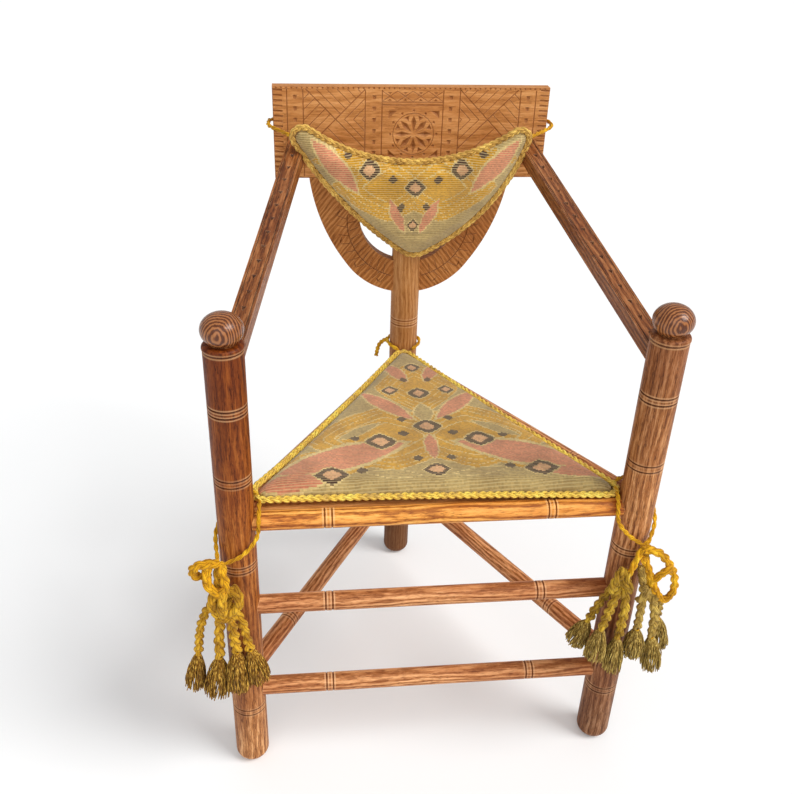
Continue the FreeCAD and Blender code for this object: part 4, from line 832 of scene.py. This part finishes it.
def arcPlaces(start, hub, end, around):
    first, last = start - hub, end - hub
    angle = first.angle(last)
    axis = first.cross(last).normalized()
    if (Matrix.Rotation(angle / 2, 3, axis) @ first).dot(around) < 0:
        angle -= math.tau
    count = max(6, int(abs(angle) * first.length / 2.5))
    return [hub + Matrix.Rotation(angle * i / count, 3, axis) @ first for i in range(count)]


def outlinePlaces(corners, bows, grow):
    middle = sum((centre for centre, radius in corners), Vector()) / len(corners)
    sides = []
    for i, bow in enumerate(bows):
        first, firstRadius = corners[i]
        second, secondRadius = corners[(i + 1) % len(corners)]
        outward = (first + second) / 2 - middle
        if bow > 0:
            hub = meetingPoint(first, second, bow + firstRadius, bow + secondRadius, outward)
            start = first + (hub - first).normalized() * (firstRadius + grow)
            end = second + (hub - second).normalized() * (secondRadius + grow)
        else:
            hub = meetingPoint(first, second, -bow - firstRadius, -bow - secondRadius, -outward)
            start = first + (first - hub).normalized() * (firstRadius + grow)
            end = second + (second - hub).normalized() * (secondRadius + grow)
        sides.append((start, hub, end))
    places = []
    for i, (start, hub, end) in enumerate(sides):
        places += arcPlaces(start, hub, end, (start + end) / 2 - hub)
        centre, radius = corners[(i + 1) % len(corners)]
        following = sides[(i + 1) % len(sides)][0]
        places += arcPlaces(end, centre, following, (end + following) / 2 - centre)
    return places


def besidePost(axis, postRadius, gap, angle, cornerRadius):
    reach = postRadius + gap + edging["radius"] + cornerRadius
    turn = math.radians(angle)
    return Vector((axis.x + reach * math.cos(turn), axis.y + reach * math.sin(turn), 0))


edging = {"radius": 4.2, "plait": 5.2, "lift": 0.6}
seatPad = {
    "corners": [(besidePost(leftAxis, chair["frontPostRadius"], 7.6, 41.3, 18.0), 18.0),
                (besidePost(rightAxis, chair["frontPostRadius"], 1.2, 158.7, 18.0), 18.0),
                (besidePost(rearAxis, chair["rearPostRadius"], 1.6, 264.7, 13.0), 13.0)],
    "bows": (7000.0, 7000.0, 7000.0), "height": 488.0, "tilt": -1.56, "hinge": 30.0,
    "voxel": 5.0, "shrink": 0.0, "pressure": 4.0, "cap": 7.0, "rimWidth": 16.0,
}
backPad = {
    "corners": [(Vector((-174.0, 4.0, 0)), 16.0), (Vector((9.0, -176.0, 0)), 32.0),
                (Vector((164.0, 2.0, 0)), 14.5)],
    "bows": (-690.0, -318.0, 272.0), "forward": 55.0, "height": 869.0, "lean": 10.1,
    "voxel": 4.0, "shrink": -1.4, "pressure": 4.0, "cap": 7.0, "rimWidth": 14.0,
}
tilt = math.radians(seatPad["tilt"])
hingeY = frontY + seatPad["hinge"]
seatPlane = (Matrix.Translation((0, hingeY * (1 - math.cos(tilt)), seatPad["height"] - hingeY * math.sin(tilt)))
             @ Matrix.Rotation(tilt, 4, "X"))
backPlane = (Matrix.Translation((0, crestFrontY - backPad["forward"], backPad["height"]))
             @ Matrix.Rotation(math.radians(90 + backPad["lean"]), 4, "X"))


# What the soft pieces are pressed against: round rails and posts, and the two arms
def woodAround():
    rods = []
    for first, second, low, high in ((leftAxis, rightAxis, "frontRail", "frontRail"),
                                     (leftAxis, rearAxis, "sideRailFront", "sideRailRear"),
                                     (rightAxis, rearAxis, "sideRailFront", "sideRailRear")):
        start = first + up * chair[low]
        rods.append((start, second + up * chair[high] - start, chair["railRadius"]))
    rods.append((rearAxis, up * chair["crestBottom"], chair["rearPostRadius"]))
    for axis in (leftAxis, rightAxis):
        rods.append((axis, up * chair["frontPostHeight"], chair["frontPostRadius"]))
    return rods


rods = woodAround()
arms = [armFrame(side) for side in (-1, 1)]


def keepOffWood(place, gap):
    spot = place / mm
    for start, run, radius in rods:
        t = max(0, min(1, (spot - start).dot(run) / run.length_squared))
        axisPoint = start + run * t
        off = spot - axisPoint
        if off.length < radius + gap:
            if off.length < 0.001:
                off = up.copy()
            spot = axisPoint + off.normalized() * (radius + gap)
    for low, along, across, normal in arms if place.z > 0.7 else ():
        off = spot - low
        u, v, w = off.dot(across), off.dot(along), off.dot(normal)
        half = chair["armWidth"] / 2 + gap
        if abs(u) < half and -chair["armDepth"] - gap < w < gap and 0 < v < 500:
            outs = [(half - u, across), (half + u, -across), (gap - w, normal)]
            if spot.z > 855:
                outs = [(gap - w, normal)]
            push, way = min(outs, key=lambda out: out[0])
            spot = spot + way * push
    if spot.z > chair["crestBottom"] and spot.y > crestFrontY - gap and abs(spot.x) < chair["crestHalfWidth"]:
        spot.y = crestFrontY - gap
    return spot * mm


# A stuffed cushion, blown up by a cloth simulation from its CAD solid
def stuffCushion(name, node, settings, plane, material, creases):
    source = bmesh.new()
    source.from_mesh(cadNodes[node].data)
    bmesh.ops.remove_doubles(source, verts=source.verts, dist=0.00002)
    bmesh.ops.recalc_face_normals(source, faces=source.faces)
    mesh = bpy.data.meshes.new(name)
    source.to_mesh(mesh)
    source.free()
    piece = bpy.data.objects.new(name, mesh)
    scene.collection.objects.link(piece)
    remesh = piece.modifiers.new("even", "REMESH")
    remesh.mode = "VOXEL"
    remesh.voxel_size = settings["voxel"] * mm
    even = bpy.data.meshes.new_from_object(piece.evaluated_get(bpy.context.evaluated_depsgraph_get()))
    piece.modifiers.clear()
    piece.data = even
    bpy.data.meshes.remove(mesh)
    shape = bmesh.new()
    shape.from_mesh(even)
    for _ in range(4):
        bmesh.ops.smooth_vert(shape, verts=shape.verts, factor=0.5, use_axis_x=True, use_axis_y=True,
                              use_axis_z=True)
    shape.normal_update()
    for vertex in shape.verts:
        vertex.co -= vertex.normal * (settings["shrink"] * mm)
    shape.to_mesh(even)
    shape.free()
    rim = [plane @ spot for spot in outlinePlaces(settings["corners"], settings["bows"], 0)]
    rim = [spot * mm for spot in evenly(rim, 4.0, True)]
    tree = KDTree(len(rim))
    for index, spot in enumerate(rim):
        tree.insert(spot, index)
    tree.balance()
    rest = [vertex.co.copy() for vertex in even.vertices]
    cloth = piece.modifiers.new("filling", "CLOTH")
    cloth.settings.quality = 6
    cloth.settings.mass = 0.3
    cloth.settings.tension_stiffness = 12
    cloth.settings.compression_stiffness = 12
    cloth.settings.shear_stiffness = 5
    cloth.settings.bending_stiffness = 0.5
    cloth.settings.use_pressure = True
    cloth.settings.uniform_pressure_force = settings["pressure"]
    cloth.settings.effector_weights.gravity = 0
    cloth.collision_settings.use_collision = False
    for step in range(1, 21):
        scene.frame_set(step)
    blown = bpy.data.meshes.new_from_object(piece.evaluated_get(bpy.context.evaluated_depsgraph_get()))
    moved = [vertex.co.copy() for vertex in blown.vertices]
    piece.modifiers.clear()
    bpy.data.meshes.remove(blown)
    scene.frame_set(1)
    cap = settings["cap"] * mm
    facing = (plane.to_3x3() @ up).normalized()
    for vertex, start, end in zip(even.vertices, rest, moved):
        move = facing * min(cap, max(-cap, (end - start).dot(facing)))
        _, _, fromRim = tree.find(start)
        hold = min(1, max(0, (fromRim / mm - edging["radius"]) / settings["rimWidth"]))
        vertex.co = start + move * hold * (2 - hold)
    divide = piece.modifiers.new("finer", "SUBSURF")
    divide.levels = divide.render_levels = 1
    fine = bpy.data.meshes.new_from_object(piece.evaluated_get(bpy.context.evaluated_depsgraph_get()))
    piece.modifiers.clear()
    piece.data = fine
    bpy.data.meshes.remove(even)
    flat = plane.inverted()
    outside = [vertex.normal.dot(facing) for vertex in fine.vertices]
    for vertex, out in zip(fine.vertices, outside):
        spot = flat @ (vertex.co / mm)
        if out > 0.2:
            push = 0.0
            for x, y, turn, length, width, depth in creases:
                turn = math.radians(turn)
                along = (spot.x - x) * math.cos(turn) + (spot.y - y) * math.sin(turn)
                across = (spot.y - y) * math.cos(turn) - (spot.x - x) * math.sin(turn)
                across += 0.0016 * along * along * (1 if turn > 0 else -1)
                ridge = math.exp(-(across / width) ** 2) - 0.55 * math.exp(-((across - 1.8 * width) / width) ** 2)
                push -= depth * math.exp(-(along / length) ** 2) * ridge
            push += 0.9 * noise.noise(Vector((spot.x, spot.y, 0)) / 38) + 0.35 * noise.noise(spot / 14)
            vertex.co += facing * (push * mm)
        vertex.co = keepOffWood(vertex.co, 0.35)
    fine.name = name
    scene.collection.objects.unlink(piece)
    bpy.data.objects.remove(piece)
    cushion = placePiece(name, fine, material, [node])
    return cushion



# Needlework: bands and motifs in stitches, on ribbed canvas
def makeMotif(name, leaf):
    group, taken, given = startGroup(
        name, [("Vector", "Vector", None), ("Centre", "Vector", (0.0, 0.0, 0.0)), ("Turn", "Float", 0.0),
               ("Size", "Vector", (10.0, 10.0, 1.0))], [("Distance", "Float")])
    off = vecCalc(group, "SUBTRACT", taken["Vector"], taken["Centre"])
    turned = put(group, "ShaderNodeVectorRotate", {"Vector": off, "Angle": taken["Turn"]},
                 rotation_type="Z_AXIS").outputs[0]
    scaled = vecCalc(group, "ABSOLUTE", vecCalc(group, "DIVIDE", turned, taken["Size"]))
    parts = put(group, "ShaderNodeSeparateXYZ", {"Vector": scaled}).outputs
    if leaf:  # a pointed oval along its own x
        reach = calc(group, "MULTIPLY_ADD", parts["X"], parts["X"], parts["Y"])
    else:     # a lozenge with slightly bowed sides
        reach = calc(group, "ADD", calc(group, "POWER", parts["X"], 1.25), calc(group, "POWER", parts["Y"], 1.25))
    feed(group, given["Distance"], reach)
    return group


lozenge = makeMotif("lozenge", False)
leafShape = makeMotif("leafShape", True)

stitchColours = {
    "sage": (0.43, 0.31, 0.125), "sageDark": (0.30, 0.20, 0.065), "ochre": (0.60, 0.31, 0.02),
    "rose": (0.62, 0.235, 0.135), "peach": (0.66, 0.36, 0.19), "brown": (0.075, 0.038, 0.024),
    "pale": (0.66, 0.50, 0.22), "canvas": (0.66, 0.52, 0.26),
}


def nearestMotif(tree, place, group, motifs):
    nearest = None
    for x, y, turn, width, height in motifs:
        reach = useGroup(tree, group, {"Vector": place, "Centre": (x, y, 0.0), "Turn": -math.radians(turn),
                                       "Size": (width, height, 1.0)})["Distance"]
        nearest = reach if nearest is None else calc(tree, "MINIMUM", nearest, reach)
    return nearest


def needlework(name, axes, design):
    material, tree, shader = startMaterial(name)
    place = put(tree, "ShaderNodeTexCoord").outputs["Object"]
    parts = put(tree, "ShaderNodeSeparateXYZ", {"Vector": vecCalc(tree, "DIVIDE", place, (mm, mm, mm))}).outputs
    flat = put(tree, "ShaderNodeCombineXYZ", {"X": parts[axes[0]], "Y": parts[axes[1]]}).outputs[0]
    waver = put(tree, "ShaderNodeTexNoise", {"Vector": flat, "Scale": 0.03, "Detail": 2}).outputs["Color"]
    waver = vecCalc(tree, "MULTIPLY", vecCalc(tree, "SUBTRACT", waver, (0.5, 0.5, 0.5)), (7, 7, 0))
    drawn = vecCalc(tree, "ADD", flat, waver)
    stitch = vecCalc(tree, "SNAP", drawn, (*design["stitch"], 1.0))
    stitched = put(tree, "ShaderNodeSeparateXYZ", {"Vector": stitch}).outputs
    folded = calc(tree, "ABSOLUTE", calc(tree, "SUBTRACT", stitched["X"], design["middle"]))
    half = put(tree, "ShaderNodeCombineXYZ", {"X": folded, "Y": stitched["Y"]}).outputs[0]
    colour = (*stitchColours["sage"], 1)
    for kind, group, motifs, bands in design["layers"]:
        reach = nearestMotif(tree, half, group, motifs)
        inside = calc(tree, "LESS_THAN", reach, 1.0)
        shade = ramp(tree, reach, [(stop, stitchColours[shadeName]) for stop, shadeName in bands], "CONSTANT")
        colour = blendColours(tree, inside, colour, shade)
    thread = put(tree, "ShaderNodeTexWhiteNoise", {"Vector": stitch}, noise_dimensions="3D").outputs["Value"]
    uneven = ramp(tree, thread, [(0, (0.80, 0.80, 0.80)), (1, (1.14, 1.14, 1.14))])
    colour = blendColours(tree, 1.0, colour, uneven, "MULTIPLY")
    age = put(tree, "ShaderNodeTexNoise", {"Vector": flat, "Scale": 0.018, "Detail": 3}).outputs["Fac"]
    aged = ramp(tree, age, [(0.35, (0.74, 0.70, 0.64)), (0.6, (1.06, 1.05, 1.0))])
    colour = blendColours(tree, 1.0, colour, aged, "MULTIPLY")
    ribTurn = calc(tree, "MULTIPLY", calc(tree, "DIVIDE", parts[axes[1]], design["rib"]), math.tau)
    rib = calc(tree, "MULTIPLY_ADD", calc(tree, "SINE", ribTurn), 0.5, 0.5)
    weftTurn = calc(tree, "MULTIPLY", calc(tree, "DIVIDE", parts[axes[0]], design["stitch"][0] / 2), math.tau)
    weft = calc(tree, "MULTIPLY_ADD", calc(tree, "SINE", weftTurn), 0.5, 0.5)
    between = calc(tree, "MULTIPLY", spread(tree, rib, 0.12, 0.42, 1, 0), design["ribShade"])
    colour = blendColours(tree, between, colour, stitchColours["canvas"])
    feed(tree, shader["Base Color"], colour)
    shader["Roughness"].default_value = 0.9
    shader["Sheen Weight"].default_value = 0.2
    shader["Specular IOR Level"].default_value = 0.2
    height = calc(tree, "MULTIPLY_ADD", weft, 0.3, rib)
    bump = put(tree, "ShaderNodeBump", {"Height": height, "Strength": 0.7, "Distance": 0.0007})
    feed(tree, shader["Normal"], bump.outputs["Normal"])
    return material


medallion = [(0, "peach"), (0.42, "brown"), (0.86, "pale")]
leafBands = [(0, "rose"), (0.8, "pale")]
fieldBands = [(0, "ochre"), (0.34, "pale"), (0.37, "ochre"), (0.53, "pale"), (0.555, "ochre"), (0.7, "pale"),
              (0.72, "ochre"), (0.85, "pale"), (0.87, "ochre"), (0.965, "pale")]

seatDesign = {
    "middle": 0.0, "stitch": (2.6, 2.6), "rib": 3.4, "ribShade": 0.4,
    "layers": [
        ("field", lozenge, [(62, -100, 0, 128, 92), (0, 52, 0, 70, 86), (170, -170, 0, 88, 40)], fieldBands),
        ("leaf", leafShape, [(132, -152, -20, 112, 34), (56, -6, 50, 66, 17), (0, -128, 90, 38, 12),
                             (30, 106, 68, 44, 14),
                             (204, -203, -3, 66, 17)], leafBands),
        ("spray", leafShape, [(0, -32, 90, 30, 17), (62, -196, 8, 44, 9), (104, -82, -36, 44, 11)],
         [(0, "sage"), (0.82, "pale")]),
        ("medallion", lozenge, [(0, -72, 0, 26, 22), (74, -112, 0, 26, 22), (0, 30, 0, 21, 19),
                                (150, -194, 0, 28, 20), (0, -190, 0, 22, 17), (46, 42, 0, 15, 16),
                                (0, 120, 0, 15, 17)], medallion),
        ("seed", lozenge, [(38, -92, 0, 9, 8), (36, -50, 0, 8, 8), (106, -186, 0, 9, 7), (24, -160, 0, 8, 7),
                           (112, -102, 0, 8, 7), (20, 76, 0, 7, 8)], [(0, "brown")]),
    ],
}
backDesign = {
    "middle": 0.0, "stitch": (2.3, 2.3), "rib": 3.4, "ribShade": 0.5,
    "layers": [
        ("field", lozenge, [(42, 794, 0, 92, 62), (104, 838, 0, 60, 24)], fieldBands),
        ("leaf", leafShape, [(126, 828, 50, 62, 17), (26, 742, 66, 36, 10)], leafBands),
        ("medallion", lozenge, [(0, 792, 0, 20, 17), (72, 822, 0, 19, 17), (0, 726, 0, 11, 12)], medallion),
        ("seed", lozenge, [(36, 806, 0, 8, 7), (106, 846, 0, 7, 6), (20, 758, 0, 6, 7)], [(0, "brown")]),
    ],
}

# Creases: place, direction, length, width and depth, in the pad's own plane
seatCreases = [(-196, -196, 30, 46, 6, 0.8), (196, -198, 150, 46, 6, 0.8), (0, 160, 90, 34, 6, 0.7)]
backCreases = [(-40, -46, 36, 30, 4.5, 4.2), (-22, -40, 6, 24, 4.0, 2.6), (14, -38, -14, 26, 4.5, 3.0),
               (44, -42, -30, 24, 4.5, 2.4), (-120, -22, -48, 30, 5, 1.8), (122, -24, 44, 30, 5, 1.8),
               (6, -160, 0, 26, 3.6, 2.2)]

stuffCushion("seatCushion", "seat_cushion", seatPad, seatPlane, needlework("seatNeedlework", "XY", seatDesign),
             seatCreases)
print("seat cushion stuffed")
stuffCushion("backCushion", "back_cushion", backPad, backPlane, needlework("backNeedlework", "XZ", backDesign),
             backCreases)
print("back cushion stuffed")


# The plaited edging, sewn round each cushion and pressed over the wood
def plaitEdge(name, node, settings, plane, material):
    rim = [(plane @ spot) * mm for spot in outlinePlaces(settings["corners"], settings["bows"], 0)]
    radius = edging["plait"] * mm
    even = evenly(rim, radius * lays["plait"]["gap"], True)
    facing = (plane.to_3x3() @ up).normalized()
    even = [keepOffWood(place + facing * (edging["lift"] * mm), 3.2) for place in even]
    heading = (even[1] - even[-1]).normalized()
    lines = strandLines(even, radius, "plait", True, first=facing.cross(heading).normalized())
    lines = [[keepOffWood(place, 2.4) for place in line] for line in lines]
    mesh = strandMesh(name, lines, radius * lays["plait"]["thick"], 1, True)
    scaleUv(mesh, lineLength(lines[0]) / mm)
    return placePiece(name, mesh, material, [node])


plaitEdge("seatEdging", "seat_cushion_edging", seatPad, seatPlane, seatEdgeWool)
plaitEdge("backEdging", "back_cushion_edging", backPad, backPlane, backEdgeWool)
print("edging sewn on")


# Floor and light: soft sky light from all round and a broad soft sun from the right
light = {"sky": 0.5, "floorGlow": 0.075, "sunPower": 2.3, "sunSpread": 32.0, "sunFrom": (1.5, -0.75, 1.75),
         "fillPower": 0.85, "fillSpread": 60.0, "fillFrom": (-0.25, -1.6, 0.9)}


def buildStage():
    sheet = bmesh.new()
    bmesh.ops.create_grid(sheet, x_segments=1, y_segments=1, size=12)
    mesh = bpy.data.meshes.new("floor")
    sheet.to_mesh(mesh)
    sheet.free()
    floor = bpy.data.objects.new("floor", mesh)
    scene.collection.objects.link(floor)
    material, tree, shader = startMaterial("floorWhite")
    shader["Base Color"].default_value = (0.845, 0.858, 0.872, 1)
    shader["Roughness"].default_value = 0.9
    shader["Specular IOR Level"].default_value = 0.1
    rays = put(tree, "ShaderNodeLightPath").outputs
    shader["Emission Color"].default_value = (1, 1, 1, 1)
    feed(tree, shader["Emission Strength"], calc(tree, "MULTIPLY", rays["Is Camera Ray"], light["floorGlow"]))
    mesh.materials.append(material)
    world = bpy.data.worlds.new("studio")
    world.use_nodes = True
    scene.world = world
    tree = world.node_tree
    background = tree.nodes["Background"].inputs
    rays = put(tree, "ShaderNodeLightPath").outputs
    background["Color"].default_value = (1, 1, 1, 1)
    feed(tree, background["Strength"],
         calc(tree, "MULTIPLY_ADD", rays["Is Camera Ray"], 1 - light["sky"], light["sky"]))


def addSun(name, power, spreadAngle, source, colour):
    sun = bpy.data.lights.new(name, "SUN")
    sun.energy = power
    sun.angle = math.radians(spreadAngle)
    sun.color = colour
    holder = bpy.data.objects.new(name, sun)
    holder.rotation_euler = Vector(source).to_track_quat("Z", "Y").to_euler()
    scene.collection.objects.link(holder)


buildStage()
addSun("window", light["sunPower"], light["sunSpread"], light["sunFrom"], (1, 0.985, 0.96))
addSun("room", light["fillPower"], light["fillSpread"], light["fillFrom"], (1, 0.99, 0.98))
scene.view_settings.view_transform = "Standard"
print("stage set")
